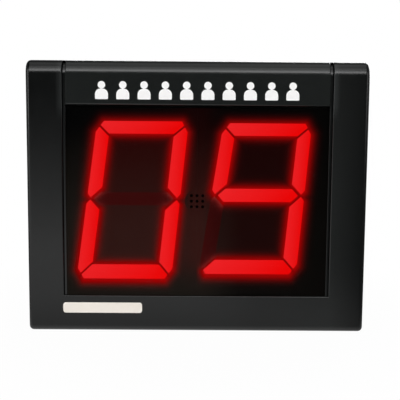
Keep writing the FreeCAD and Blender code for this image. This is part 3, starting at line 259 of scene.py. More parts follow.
# The pairs of places in metres between which these colours rise or fade
FRONT_SKIN = (-0.026, -0.022)
CHEEK_RISE, CHEEK_FADE, CHEEK_HEIGHT = (0.050, 0.110), (0.110, 0.137), (0.12, 0.21)
BAND_RISE, BAND_FADE, BAND_HEIGHT = (0.1085, 0.1092), (0.1095, 0.1140), (0.175, 0.187)
NOTCH_RISE, NOTCH_FADE = (0.1055, 0.1057), (0.1088, 0.1090)
NOTCH_HEIGHT, NOTCH_DEPTH = (0.2195, 0.2199), (-0.0100, -0.0095)
BAR_HEIGHT, BAR_FADE = (0.186, 0.188), (0.1060, 0.1066)
RAIL_RISE, RAIL_HEIGHT = (0.1061, 0.1063), (0.2192, 0.2197)

# What is left of the painted pale cheek at the top, and of the painted sheen band on the left
CHEEK_AT_TOP, BAND_AT_LEFT = 0.55, 0.62


def case_tones(made, cloud):
    """The case's colour with its painted light, and a share that is 1 in the notches beside the
    rails, where shade is painted.

    The front pales towards the right cheek, a painted light. Beside the header it has a soft paler
    band, a painted sheen, more so on the right.
    """
    x, y, z = made.axes()
    beside = made.combined("ABSOLUTE", x)
    front = made.fading(y, FRONT_SKIN)
    # Painted light: the right cheek painted paler, less so at the top
    cheek_light = made.product(
        made.rising(x, CHEEK_RISE),
        made.fading(x, CHEEK_FADE),
        made.ranged(z, *CHEEK_HEIGHT, 1.0, CHEEK_AT_TOP),
        front,
    )
    # Painted sheen: a soft paler band beside the header
    band_sheen = made.product(
        made.rising(beside, BAND_RISE),
        made.fading(beside, BAND_FADE),
        made.rising(z, BAND_HEIGHT),
        front,
        made.ranged(x, -MM, MM, BAND_AT_LEFT, 1.0),
    )
    # Painted shade: the notches beside the rails are painted near black
    notch_shade = made.product(
        made.rising(beside, NOTCH_RISE),
        made.fading(beside, NOTCH_FADE),
        made.rising(z, NOTCH_HEIGHT),
        made.fading(y, NOTCH_DEPTH),
    )
    return made.mixed(band_sheen, made.mixed(cheek_light, cloud, CHEEK_PAINTED_LIGHT), BAND_PAINTED_SHEEN), notch_shade


def header_tones(made, cloud):
    """The header's colour, with a painted sheen over its bar, and a share that is 1 on the tops of
    its rails, where shade is painted.
    """
    x, _, z = made.axes()
    beside = made.combined("ABSOLUTE", x)
    # Painted sheen over the header bar, and painted shade on the tops of its rails
    bar_sheen = made.combined("MINIMUM", made.rising(z, BAR_HEIGHT), made.fading(beside, BAR_FADE))
    rail_top_shade = made.product(made.rising(beside, RAIL_RISE), made.rising(z, RAIL_HEIGHT))
    return made.mixed(bar_sheen, cloud, HEADER_PAINTED_SHEEN), rail_top_shade


def case_plastic(name, tones):
    """Black semi-matt moulded plastic with a fine spark-eroded grain and a few specks of dust.

    The tones give its colour by place, with its painted light, and the share of it that lies in a
    notch and takes no light, where it is painted near black with no reflection, as painted shade.
    """
    made = Finish(name)
    normal = made.soft_edges(0.3 * MM)
    patches = made.ranged(made.noise(5 * MM), 0.35, 0.7, 0.15, 1.0)
    edge = made.product(made.edge_share(normal), patches)
    # The tones bring painted light and shade: a paler right cheek, a sheen beside the header and
    # over its bar, black notches
    cloud, shade = tones(made, made.mixed(made.noise(60 * MM, 4.0, 0.6), CASE_DARK, CASE_LIGHT))
    specks = made.ranged(made.cells(7 * MM), 0.030, 0.018, 0.0, 0.5)
    lightened = made.mixed(specks, made.mixed(edge, cloud, CASE_WORN), CASE_DUST)
    # Painted shade in the notches: near black, and with no reflection
    made.drive("Base Color", made.mixed(shade, lightened, CASE_PAINTED_SHADE))
    made.drive("Specular IOR Level", made.ranged(shade, 0.0, 1.0, 0.5, 0.0))
    scuff = made.noise(14 * MM, 6.0, 0.62)
    made.drive("Roughness", made.ranged(scuff, *CLOUD_ENDS, 0.17, 0.22))
    grain = made.combined("ADD", made.noise(0.55 * MM, 1.0), made.cells(0.8 * MM, "SMOOTH_F1"))
    made.drive("Normal", made.bumped(grain, 0.006 * MM, normal))
    return made.material


def filter_sheet():
    """Dark see-through acrylic with faint wiped smears."""
    made = Finish(
        "filter",
        Base_Color=(0.0010, 0.0009, 0.0009, 1),
        Alpha=0.3,
        IOR=1.49,
        Specular_IOR_Level=0.12,
    )
    smear = made.noise(30 * MM, 5.0, 0.6, made.stretched(1, 1, 0.35))
    made.drive("Roughness", made.ranged(smear, 0.35, 0.75, 0.19, 0.25))
    return made.material


def lens(name, base):
    """Red diffusing lens with a faint grain, whose glow the caller adds."""
    made = Finish(name, Roughness=0.42, Specular_IOR_Level=0.06)
    grain = made.noise(1.1 * MM, 2.0)
    made.drive("Base Color", made.mixed(grain, base, tuple(1.25 * c for c in base)))
    made.drive("Normal", made.bumped(made.noise(0.4 * MM, 1.0), 0.01 * MM))
    return made


def lit_lens():
    """A glowing lens with a painted highlight: paler towards its left end and, a little, its top,
    as UV gives it.
    """
    made = lens("lens_lit", (0.20, 0.002, 0.002))
    across, along, _ = made.add(
        "ShaderNodeSeparateXYZ", {"Vector": made.add("ShaderNodeUVMap").outputs["UV"]}
    ).outputs
    slope = made.combined("SUBTRACT", made.product(across, 0.85), made.product(along, 0.15))
    share = made.rising(slope, (-0.15, 0.72))
    # Painted highlight: paler pink towards the left end and the top
    made.drive("Emission Color", made.mixed(share, (1.0, 0.020, 0.024), (0.98, 0.0, 0.0)))
    made.shader.inputs["Emission Strength"].default_value = 1.56
    return made.material


def dark_lens():
    """An unlit lens, which passes the red of its neighbours as its glow attribute says."""
    made = lens("lens_dark", (0.02, 0.001, 0.001))
    made.shader.inputs["Emission Color"].default_value = (1.0, 0.05, 0.045, 1)
    made.drive("Emission Strength", made.carried("glow"))
    return made.material


# The painted light on the film, a warm grey glow: its two shades, the places between which it fades
# upwards and to the right, what is left of it there, and the strengths of red between which it is
# drowned
PAINTED_GLOW_DARK, PAINTED_GLOW_LIGHT = (0.0140, 0.0112, 0.0086), (0.0180, 0.0148, 0.0114)
PAINTED_GLOW_HEIGHT, PAINTED_GLOW_ACROSS, PAINTED_GLOW_AT_RIGHT = (0.090, 0.170), (0.005, 0.035), 0.22
PAINTED_GLOW_DROWNED = (0.06, 0.40)


def glowing_film(name):
    """The black film over the digit blocks, which shows the segments' glow as painted light.

    It shines red near the lit segments as its glow attribute says, and a faint warm grey at its
    foot and left, which is painted light too. Close to a lit segment the red drowns the warm grey.
    red drowns the dust.
    """
    made = Finish(name, Roughness=0.6, Specular_IOR_Level=0.03)
    x, _, z = made.axes()
    glow = made.carried("glow")
    # Painted light: where the film glows warm grey, fading upwards and to the right
    lightened = made.product(
        made.fading(z, PAINTED_GLOW_HEIGHT),
        made.ranged(x, *PAINTED_GLOW_ACROSS, 1.0, PAINTED_GLOW_AT_RIGHT),
        made.fading(glow, PAINTED_GLOW_DROWNED),
    )
    cloud = made.mixed(made.noise(12 * MM, 4.0), PAINTED_GLOW_DARK, PAINTED_GLOW_LIGHT)
    warm_painted_glow = made.mixed(lightened, (0.0, 0.0, 0.0), cloud)
    made.drive("Base Color", made.mixed(made.noise(9 * MM), (0.0008,) * 3, (0.0012,) * 3))
    red = made.add("ShaderNodeCombineXYZ", {"X": glow}).outputs["Vector"]
    both = made.add("ShaderNodeVectorMath", {0: red, 1: warm_painted_glow}, operation="ADD").outputs["Vector"]
    made.drive("Emission Color", both)
    made.shader.inputs["Emission Strength"].default_value = 1.0
    return made.material


def circuit_board():
    """Green coated laminate with rows of tracks under the coat and tinned dots."""
    made = Finish("board", Roughness=0.38)
    made.shader.inputs["Coat Weight"].default_value = 0.3
    wave = made.add(
        "ShaderNodeTexWave",
        {
            "Vector": made.where(),
            "Scale": 95.0,
            "Distortion": 9.0,
            "Detail": 1.0,
            "Detail Scale": 0.6,
        },
        wave_type="BANDS",
        bands_direction="DIAGONAL",
    ).outputs["Fac"]
    track = made.rising(wave, (0.52, 0.60))
    green = made.mixed(track, (0.010, 0.075, 0.030), (0.022, 0.125, 0.050))
    dots = made.ranged(made.cells(3.4 * MM), 0.20, 0.15, 0.0, 1.0)
    made.drive("Base Color", made.mixed(dots, green, (0.55, 0.55, 0.53)))
    made.drive("Normal", made.bumped(track, 0.02 * MM))
    return made.material


def metal(name, dark, light, rough, brush):
    """Metal with fine drawn lines along one axis and cloudy tarnish."""
    made = Finish(name, Metallic=1.0)
    lines = made.noise(0.35 * MM, 2.0, 0.5, made.stretched(*brush))
    made.drive("Base Color", made.mixed(made.noise(8 * MM, 4.0), dark, light))
    made.drive("Roughness", made.ranged(lines, *CLOUD_ENDS, rough - 0.08, rough + 0.08))
    made.drive("Normal", made.bumped(lines, 0.006 * MM, made.soft_edges(0.12 * MM)))
    return made.material


def rubber():
    """Dull black rubber with a coarse skin and pale scuffs."""
    made = Finish("rubber")
    made.shader.inputs["Sheen Weight"].default_value = 0.15
    scuff = made.rising(made.noise(3 * MM, 6.0, 0.7), (0.55, 0.75))
    made.drive("Base Color", made.mixed(scuff, (0.012, 0.012, 0.012), (0.03, 0.03, 0.03)))
    made.drive("Roughness", made.ranged(scuff, 0, 1, 0.72, 0.85))
    made.drive("Normal", made.bumped(made.noise(0.7 * MM, 2.0), 0.04 * MM))
    return made.material


def clear_resin():
    """The milky resin of the small lamps."""
    made = Finish("lamp", Roughness=0.2)
    cloud = made.noise(1.2 * MM, 2.0)
    made.drive("Base Color", made.mixed(cloud, (0.62, 0.56, 0.50), (0.80, 0.75, 0.70)))
    return made.material


def printed(name, dark, light, rough):
    """A thin printed or laminated layer with a faint mottle."""
    made = Finish(name)
    cloud = made.noise(7 * MM, 5.0, 0.6)
    made.drive("Base Color", made.mixed(cloud, dark, light))
    smear = made.noise(2 * MM, 3.0)
    made.drive("Roughness", made.ranged(smear, *CLOUD_ENDS, rough - 0.04, rough + 0.04))
    made.drive("Normal", made.bumped(made.noise(0.5 * MM, 1.0), 0.004 * MM))
    return made.material


# Moulded finishes have a dark and a light shade, a roughness, a grain's size and height, and a worn
# edge's shade. Metals have two shades, a roughness, and the stretch of their lines along each axis.
FINISHES = {
    "case_plastic": case_plastic("case_plastic", case_tones),
    "filter": filter_sheet(),
    "block_plastic": moulded(
        "block_plastic",
        (0.005, 0.0055, 0.005),
        (0.008, 0.0085, 0.008),
        0.5,
        0.5 * MM,
        0.012 * MM,
        (0.012, 0.012, 0.012),
    ),
    "lens_lit": lit_lens(),
    "lens_dark": dark_lens(),
    "lamp": clear_resin(),
    "board": circuit_board(),
    "chip": moulded(
        "chip",
        (0.010, 0.010, 0.011),
        (0.018, 0.018, 0.018),
        0.55,
        0.25 * MM,
        0.01 * MM,
        (0.05, 0.05, 0.05),
    ),
    "component_metal": metal(
        "component_metal", (0.55, 0.55, 0.57), (0.74, 0.74, 0.76), 0.30, (1, 0.05, 1)
    ),
    "heat_sink": metal("heat_sink", (0.05, 0.05, 0.055), (0.10, 0.10, 0.11), 0.42, (1, 0.04, 1)),
    "jack_plastic": moulded(
        "jack_plastic",
        (0.020, 0.020, 0.021),
        (0.030, 0.030, 0.031),
        0.32,
        0.4 * MM,
        0.006 * MM,
        (0.07, 0.07, 0.07),
    ),
    "contact": metal("contact", (0.62, 0.43, 0.14), (0.84, 0.63, 0.26), 0.22, (1, 0.05, 1)),
    "key_plastic": moulded(
        "key_plastic",
        (0.19, 0.19, 0.20),
        (0.26, 0.26, 0.27),
        0.42,
        0.5 * MM,
        0.014 * MM,
        (0.36, 0.36, 0.37),
    ),
    "steel": metal("steel", (0.42, 0.42, 0.43), (0.60, 0.60, 0.61), 0.32, (1, 1, 0.05)),
    "rubber": rubber(),
}
HEADER_PLASTIC = case_plastic("header_plastic", header_tones)
SOUNDER_BLACK = moulded(
    "sounder_black",
    (0.0006, 0.0006, 0.0006),
    (0.0010, 0.0010, 0.0010),
    0.6,
    0.3 * MM,
    0.01 * MM,
    (0.001, 0.001, 0.001),
    Specular_IOR_Level=0.02,
)
GLOWING_FILM = glowing_film("glowing_film")
INK_WHITE = printed("ink_white", (0.95, 0.95, 0.94), (1.0, 1.0, 0.99), 0.42)
PLATE_CREAM = printed("plate_cream", (0.96, 0.90, 0.81), (1.0, 0.95, 0.87), 0.34)

for part in frame["record"]["subparts"]:
    for own_slot in nodes[part["node"]].material_slots:
        own_slot.material = FINISHES[part["material_slot"]]
for node, material in (("header_frame", HEADER_PLASTIC), ("sounder", SOUNDER_BLACK)):
    for own_slot in nodes[node].material_slots:
        own_slot.material = material


# Surfaces


def make_piece(name, points, faces, material, body, smooth=True):
    """A mesh object at the origin, which rides on a body."""
    mesh = bpy.data.meshes.new(name)
    mesh.from_pydata(points.tolist(), [], faces)
    mesh.polygons.foreach_set("use_smooth", np.full(len(mesh.polygons), smooth))
    mesh.materials.append(material)
    mesh.update()
    piece = bpy.data.objects.new(name, mesh)
    scene.collection.objects.link(piece)
    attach(piece, body)
    return piece


def rounded_outline(corners, radius, steps=5):
    """Points and outward normals round a convex outline given anticlockwise in (x, z).

    The radius is one number, or one for each corner. Each corner is an arc, centre + radius *
    (cos a, sin a), where a turns from one side's outward normal to the next one's, and the centre
    lies the radius inside both sides.
    """
    corners = np.asarray(corners, float)
    radius = np.broadcast_to(np.asarray(radius, float), len(corners))
    side = np.roll(corners, -1, 0) - corners
    side /= np.linalg.norm(side, axis=1)[:, None]
    out = np.stack([side[:, 1], -side[:, 0]], 1)
    before = np.roll(out, 1, 0)
    centre = corners - (before + out) * (radius / (1 + (before * out).sum(1)))[:, None]
    start = np.arctan2(before[:, 1], before[:, 0])
    turn = (np.arctan2(out[:, 1], out[:, 0]) - start) % (2 * np.pi)
    angle = start[:, None] + turn[:, None] * np.linspace(0, 1, steps)[None]
    normal = np.stack([np.cos(angle), np.sin(angle)], -1)
    points = centre[:, None] + radius[:, None, None] * normal
    return points.reshape(-1, 2), normal.reshape(-1, 2)


def densified(points, normals, spacing):
    """The same outline with points added along its long sides, about the spacing apart."""
    after, after_normal = np.roll(points, -1, 0), np.roll(normals, -1, 0)
    count = np.maximum(np.ceil(np.linalg.norm(after - points, axis=1) / spacing), 1).astype(int)
    index = np.repeat(np.arange(len(points)), count)
    share = (np.arange(len(index)) - np.repeat(np.cumsum(count) - count, count)) / count[index]
    return (
        points[index] + share[:, None] * (after - points)[index],
        normals[index] + share[:, None] * (after_normal - normals)[index],
    )


def profile_round(points, normals, profile, cap_rings=0):
    """A solid whose side is a profile of (inset, y) carried round the outline, closed at both ends.

    The vertex at profile step i and outline step j is (p_j - inset_i * n_j, y_i). The rings of a
    cap follow on the last step, each nearer to the middle: m + (p_j - m) * s.
    """
    profile = np.asarray(profile, float)
    ring = points[None] - profile[:, :1, None] * normals[None]
    if cap_rings:
        shrink = np.linspace(1, 0, cap_rings + 1, endpoint=False)[1:, None, None]
        middle = ring[-1].mean(0)
        ring = np.concatenate([ring, middle + (ring[-1] - middle) * shrink])
        profile = np.concatenate([profile, np.repeat(profile[-1:], cap_rings, 0)])
    depth = np.broadcast_to(profile[:, 1:, None], ring.shape[:2] + (1,))
    grid = np.concatenate([ring[..., :1], depth, ring[..., 1:]], -1)
    rows, count = grid.shape[:2]
    index = np.arange(rows * count).reshape(rows, count)
    after = np.roll(index, -1, 1)
    quads = np.stack([index[:-1], index[1:], after[1:], after[:-1]], -1).reshape(-1, 4)
    return grid.reshape(-1, 3), quads.tolist() + [index[0].tolist(), index[-1, ::-1].tolist()]


# Figures: red lenses over the light wells, in millimetres. Across a figure these lengths are
# measured from its middle, and up it from the middle of its waist.

SLANT = math.tan(math.radians(6.9))
HALF, GAP = 38.0, 1.5
STROKE, HEAD_STROKE, WAIST_STROKE, FOOT_STROKE = 11.2, 10.2, 10.8, 12.0
CORNER_ACROSS, CORNER_DOWN = 5.6, 8.7
WAIST_INSET, WAIST_CUT, WAIST_GAP = 2.7, 4.2, 2.3
EDGE, MITRE = HALF - STROKE, GAP * math.sqrt(2)
FLAT_TIP = CORNER_ACROSS * CORNER_DOWN / (CORNER_ACROSS + CORNER_DOWN)
SIDE_TIP = CORNER_ACROSS * (CORNER_DOWN - MITRE) / (CORNER_ACROSS + CORNER_DOWN)

# Where the middle of each figure's waist is in the case, how far it reaches above and below it, how
# much wider it is at its foot than at its head, its unlit segment, and the haze inside it
FIGURES = {
    "tens": {
        "centre": -51.8,
        "middle": 110.6,
        "upper": 63.3,
        "lower": 66.7,
        "spread": 4.2,
        "dark": "g",
        "haze": 0.032,
    },
    "units": {
        "centre": 49.7,
        "middle": 114.0,
        "upper": 58.8,
        "lower": 65.7,
        "spread": 9.4,
        "dark": "e",
        "haze": 0.015,
    },
}

# The side of a lens from back to front as (inset, y), the round of its corners, and for the unlit
# ones the rings and point spacing that carry their glow, with its least strength
LENS_PROFILE = [(0.0, -20.9), (0.0, -23.06), (0.05, -23.15), (0.18, -23.21), (0.42, -23.24)]
LENS_ROUND = 0.5
DARK_RINGS, DARK_SPACING, DARK_GLOW = 12, 1.2, 0.028


def upright_segment(figure, letter):
    """A segment's corners, anticlockwise, measured from the middle of the figure's waist."""
    high = letter in "abf"
    reach = FIGURES[figure]["upper" if high else "lower"]
    thick = HEAD_STROKE if high else FOOT_STROKE
    if letter == "g":
        tip = HALF - WAIST_INSET + GAP / 2 - WAIST_GAP * math.sqrt(2)
        shoulder, rise = tip - WAIST_STROKE / 2, WAIST_STROKE / 2
        right = [(shoulder, -rise), (tip, 0), (shoulder, rise)]
        return np.array(right + [(-u, -v) for u, v in right])
    if letter in "ad":
        right = [
            (EDGE, reach - thick),
            (HALF - FLAT_TIP, reach - FLAT_TIP),
            (HALF - CORNER_ACROSS, reach),
        ]
        corners = np.array(right + [(-u, v) for u, v in reversed(right)])
    else:
        corners = np.array(
            [
                (EDGE, GAP / 2 + STROKE - WAIST_INSET),
                (HALF - WAIST_INSET, GAP / 2),
                (HALF, WAIST_CUT),
                (HALF, reach - CORNER_DOWN),
                (HALF - SIDE_TIP, reach - SIDE_TIP - MITRE),
                (EDGE, reach - thick - MITRE),
            ]
        )
    flips = (-1 if letter in "ef" else 1, -1 if letter in "cde" else 1)
    corners = corners * flips
    return corners[::-1] if flips[0] * flips[1] < 0 else corners


def widening(figure, v):
    """How much wider than at its waist a figure is at a height above it; it spreads to its foot."""
    facts = FIGURES[figure]
    return 1 - facts["spread"] * v / (2 * HALF * (facts["upper"] + facts["lower"]))


def in_place(figure, corners):
    """Slants the corners and moves them to the figure's place in the case."""
    facts = FIGURES[figure]
    u, v = corners[:, 0], corners[:, 1]
    across = facts["centre"] + u * widening(figure, v) + SLANT * v
    return np.stack([across, facts["middle"] + v], 1)


# The black film over both blocks, which carries the lenses' glow, and its holes over the sounder.
# Lengths are in millimetres. Strengths of light are named glow or haze, or edge where they start.

FILM_Y, FILM_THICKNESS, FILM_PITCH = -23.14, 0.03, 0.8
FILM_INNER, FILM_OUTER, FILM_BOTTOM, FILM_TOP = 0.05, 106.8, 28.2, 184.6
PORT = np.array([0.0, 108.9])
PORT_RADIUS, PORT_LAP, PORT_Y, PORT_THICKNESS = 9.95, 0.25, FILM_Y + 0.01, 0.1
HOLE_PITCH, HOLE_RADIUS = 4.6, 1.25
GLOW_EDGE, GLOW_FADE, GLOW_POWER = 0.666, 2.9, 1.36
GAP_GLOW, GAP_NEAR, GAP_FAR = 0.55, 0.8, 2.2
DROP_ABOVE, DROP_BELOW, DROP_REACH = 0.8, 1.4, 40.0
HAZE_BLUR = 3.0
MIDDLE_HAZE, MIDDLE_WIDTH, MIDDLE_HEIGHT = 0.042, 15.0, 65.0
MIDDLE_BELOW, MIDDLE_ABOVE = 18.0, 100.0


def outline_distance(points, outline):
    """Distance from each point to a convex outline, and 0 inside it."""
    start, end = outline, np.roll(outline, -1, 0)
    run = end - start
    reach = points[:, None] - start[None]
    share = np.clip((reach * run).sum(-1) / (run * run).sum(-1), 0, 1)
    away = np.linalg.norm(reach - share[..., None] * run, axis=-1).min(1)
    side = reach[..., 1] * run[None, :, 0] - reach[..., 0] * run[None, :, 1]
    return np.where((side > 0).all(1), 0.0, away)


def film_glow(figure, flat):
    """Red light of the film at points (x, z).

    It is edge * exp(-(d / fade) ** power), where d is the distance to the nearest lit segment, and
    less where a second one is near, in the narrow gaps. Outside the figure it lies a little lower,
    more so at the foot. A weak haze fills the figure's inside, and a round one lies between the
    figures: haze * exp(-(x / width) ** 2 - (rise / reach) ** 2).
    """
    facts = FIGURES[figure]
    lit = [letter for letter in "abcdefg" if letter not in facts["dark"]]
    outlines = [in_place(figure, upright_segment(figure, letter)) for letter in lit]
    v = flat[:, 1] - facts["middle"]
    u = (flat[:, 0] - facts["centre"] - SLANT * v) / widening(figure, v)
    room = np.minimum.reduce(
        [
            EDGE - np.abs(u),
            facts["upper"] - HEAD_STROKE - v,
            facts["lower"] - FOOT_STROKE + v,
        ]
    )
    outside = np.clip(0.5 - room / HAZE_BLUR, 0, 1)
    raised = flat.copy()
    drop = np.interp(v, [-DROP_REACH, DROP_REACH], [DROP_BELOW, DROP_ABOVE])
    raised[:, 1] += outside * drop
    nearest = np.sort([outline_distance(raised, outline) for outline in outlines], axis=0)
    glow = GLOW_EDGE * np.exp(-((nearest[0] / GLOW_FADE) ** GLOW_POWER))
    glow *= np.interp(nearest[1], [GAP_NEAR, GAP_FAR], [GAP_GLOW, 1.0])
    rise = flat[:, 1] - MIDDLE_HEIGHT
    reach = np.where(rise < 0, MIDDLE_BELOW, MIDDLE_ABOVE)
    middle = MIDDLE_HAZE * np.exp(-((flat[:, 0] / MIDDLE_WIDTH) ** 2) - (rise / reach) ** 2)
    return glow + facts["haze"] * (1 - outside) + middle * outside


def set_glow(piece, glow):
    """Gives each point of the piece its own strength of red light."""
    attribute = piece.data.attributes.new("glow", "FLOAT", "POINT")
    attribute.data.foreach_set("value", glow.astype(np.float32))


def make_lens(figure, letter):
    """One hexagonal lens, its front a hair proud of the block and its edge rolled over."""
    corners = in_place(figure, upright_segment(figure, letter))
    points, normals = rounded_outline(corners, LENS_ROUND)
    dark = letter in FIGURES[figure]["dark"]
    if dark:
        points, normals = densified(points, normals, DARK_SPACING)
    grid, faces = profile_round(points, normals, LENS_PROFILE, DARK_RINGS if dark else 0)
    slot = "lens_dark" if dark else "lens_lit"
    name = "%s_lens_%s" % (figure, letter)
    piece = make_piece(name, grid * MM, faces, FINISHES[slot], "housing", smooth=False)
    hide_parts("%s_segment_%s" % (figure, letter))
    if dark:
        set_glow(piece, DARK_GLOW + film_glow(figure, grid[:, [0, 2]]))
        return
    low, high = grid.min(0), grid.max(0)
    share = (grid - low) / (high - low)
    layer = piece.data.uv_layers.new(name="UVMap")
    corner_point = np.zeros(len(piece.data.loops), np.int32)
    piece.data.loops.foreach_get("vertex_index", corner_point)
    layer.data.foreach_set("uv", share[corner_point][:, [0, 2]].astype(np.float32).ravel())


def thin_sheet(flat, quads, front, thickness):
    """A closed sheet: the faces in front, the same ones behind, and a rim along every free edge."""
    count = len(flat)
    sides = np.stack([quads, np.roll(quads, -1, 1)], -1).reshape(-1, 2)
    code = sides.min(1) * count + sides.max(1)
    _, first, uses = np.unique(code, return_index=True, return_counts=True)
    free = sides[first[uses == 1]]
    rim = np.stack([free[:, 1], free[:, 0], free[:, 0] + count, free[:, 1] + count], 1)
    points = np.concatenate([np.insert(flat, 1, y, axis=1) for y in (front, front + thickness)])
    return points * MM, np.concatenate([quads, quads[:, ::-1] + count, rim]).tolist()


def film_piece(name, figure, flat, quads, front, thickness):
    """A sheet of the film, with the glow that the figure throws on it."""
    points, faces = thin_sheet(flat, quads, front, thickness)
    piece = make_piece(name, points, faces, GLOWING_FILM, "housing", False)
    set_glow(piece, np.tile(film_glow(figure, flat), 2))


def make_film(figure):
    """A figure's half of the film, a grid whose points inside the port are moved out to its rim."""
    x = np.linspace(FILM_INNER, FILM_OUTER, round((FILM_OUTER - FILM_INNER) / FILM_PITCH))
    z = np.linspace(FILM_BOTTOM, FILM_TOP, round((FILM_TOP - FILM_BOTTOM) / FILM_PITCH))
    across, up = np.meshgrid(-x[::-1] if figure == "tens" else x, z)
    flat = np.stack([across.ravel(), up.ravel()], 1)
    away = np.linalg.norm(flat - PORT, axis=1)
    inside = away < PORT_RADIUS
    out = PORT_RADIUS / np.maximum(away[inside], 0.1)
    flat[inside] = PORT + (flat[inside] - PORT) * out[:, None]
    index = np.arange(flat.shape[0]).reshape(across.shape)
    quads = np.stack([index[:-1, :-1], index[:-1, 1:], index[1:, 1:], index[1:, :-1]], -1)
    quads = quads.reshape(-1, 4)
    quads = quads[~inside[quads].all(1)]
    used = np.unique(quads)
    renumber = np.zeros(len(flat), int)
    renumber[used] = np.arange(len(used))
    film_piece(figure + "_film", figure, flat[used], renumber[quads], FILM_Y, FILM_THICKNESS)


def make_port_film():
    """The round part of the film over the sounder, with three rows of three round holes.

    Round each hole a ring runs from the circle (cos a, sin a) * radius to the square cell's rim at
    the same angle, and a last ring runs from the rim of the nine cells to the port's circle.
    """
    steps, side_steps = 16, 12
    angle = np.arange(steps) * (2 * np.pi / steps)
    spoke = np.stack([np.cos(angle), np.sin(angle)], 1)
    rim = spoke / np.abs(spoke).max(1)[:, None]
    rings = []
    for place in HOLE_PITCH * np.array([(i, k) for k in (-1, 0, 1) for i in (-1, 0, 1)]):
        middle = PORT + place
        rings.append((middle + spoke * HOLE_RADIUS, middle + rim * HOLE_PITCH / 2))
    reach = 1.5 * HOLE_PITCH
    side = np.linspace(-reach, reach, side_steps + 1)[:-1]
    edge = np.full(side_steps, reach)
    square = np.concatenate(
        [
            np.stack([side, -edge], 1),
            np.stack([edge, side], 1),
            np.stack([-side, edge], 1),
            np.stack([-edge, -side], 1),
        ]
    )
    circle = square / np.linalg.norm(square, axis=1)[:, None] * (PORT_RADIUS + PORT_LAP)
    rings.append((PORT + square, PORT + circle))
    flat, quads, start = [], [], 0
    for inner, outer in rings:
        count = len(inner)
        near = start + np.arange(count)
        far = near + count
        quads.append(np.stack([near, far, np.roll(far, -1), np.roll(near, -1)], 1))
        flat += [inner, outer]
        start += 2 * count
    flat, quads = np.concatenate(flat), np.concatenate(quads)
    _, keep, merged = np.unique(np.round(flat, 4), axis=0, return_index=True, return_inverse=True)
    quads = merged.ravel()[quads]
    film_piece("port_film", "units", flat[keep], quads, PORT_Y, PORT_THICKNESS)


for figure in FIGURES:
    for letter in "abcdefg":
        make_lens(figure, letter)
    make_film(figure)
make_port_film()


# The header's plain marks and the bare plate, in millimetres

FRONT_Y = -29.0
MARK_COUNT, MARK_THICKNESS = 10, 0.12
MARK_LEFT, MARK_RIGHT = -77.0, 76.0
MARK_BOTTOM, MARK_RISE, MARK_HALF = 191.5, 8.4, 5.2
HEAD_LIFT, HEAD_RADIUS = 11.4, 3.0
SHOULDER, HEM = 4.4, 0.8
PLATE_LEFT, PLATE_RIGHT, PLATE_BOTTOM, PLATE_TOP = -109.4, -44.6, 16.4, 25.1
PLATE_ROUND, PLATE_THICKNESS = 2.2, 0.35


def raised_mark(name, corners, radius, height, material, body, steps):
    """A thin convex shape that lies on the front face, with its rim rolled over."""
    points, normals = rounded_outline(corners, radius, steps)
    profile = [
        (0.0, FRONT_Y + 0.05),
        (0.0, FRONT_Y - 0.6 * height),
        (0.1 * height, FRONT_Y - 0.85 * height),
        (0.4 * height, FRONT_Y - height),
    ]
    grid, faces = profile_round(points, normals, profile)
    make_piece(name, grid * MM, faces, material, body, smooth=False)


def box_corners(x0, z0, x1, z1):
    """A rectangle's corners, anticlockwise."""
    return [(x0, z0), (x1, z0), (x1, z1), (x0, z1)]


def make_marks():
    """A row of plain waiting figures: a round head over a round-shouldered body."""
    for number, x in enumerate(np.linspace(MARK_LEFT, MARK_RIGHT, MARK_COUNT), 1):
        left, right = x - MARK_HALF, x + MARK_HALF
        body = box_corners(left, MARK_BOTTOM, right, MARK_BOTTOM + MARK_RISE)
        middle, reach = MARK_BOTTOM + HEAD_LIFT, HEAD_RADIUS
        head = box_corners(x - reach, middle - reach, x + reach, middle + reach)
        for name, corners, rounds, steps in (
            ("mark_body_%d", body, [HEM, HEM, SHOULDER, SHOULDER], 8),
            ("mark_head_%d", head, HEAD_RADIUS - 0.001, 10),
        ):
            raised_mark(
                name % number, corners, rounds, MARK_THICKNESS, INK_WHITE, "front_insert", steps
            )


make_marks()
plate = box_corners(PLATE_LEFT, PLATE_BOTTOM, PLATE_RIGHT, PLATE_TOP)
raised_mark("bare_plate", plate, PLATE_ROUND, PLATE_THICKNESS, PLATE_CREAM, "housing", 8)


# Studio, in metres: a white floor, a dim room, and soft lamps over, beside and behind the camera

# How bright the table looks in the gloss at each distance in front of the case
TABLE_TONES = [
    (0.0, 0.55),
    (0.03, 0.58),
    (0.12, 0.76),
    (0.37, 0.92),
    (0.8, 0.57),
    (1.3, 0.50),
    (1.8, 0.34),
    (2.6, 0.10),
    (4.0, 0.02),
    (30.0, 0.0),
]
# How far these tones move left for each metre in front, and where they fade rightwards
TABLE_SLANT, TABLE_FADE = 0.25, (0.0, 0.24)
# Where the other tones rise or fade, and how strong they are: at the foot, to the right, underneath
FOOT_REACH, RIGHT_REACH, UNDER_REACH = (0.0, 0.02), (0.0, 0.20), (-0.03, 0.0)
FOOT_TONE, RIGHT_TONE, UNDER_TONE = 0.40, 0.10, 0.05
# The floor's reach, and how much of it is plain white where it keeps a little of the shadow
FLOOR_REACH, SHADOW_REACH, WHITE_SHARE = 12.0, (0.12, 0.32), 0.97


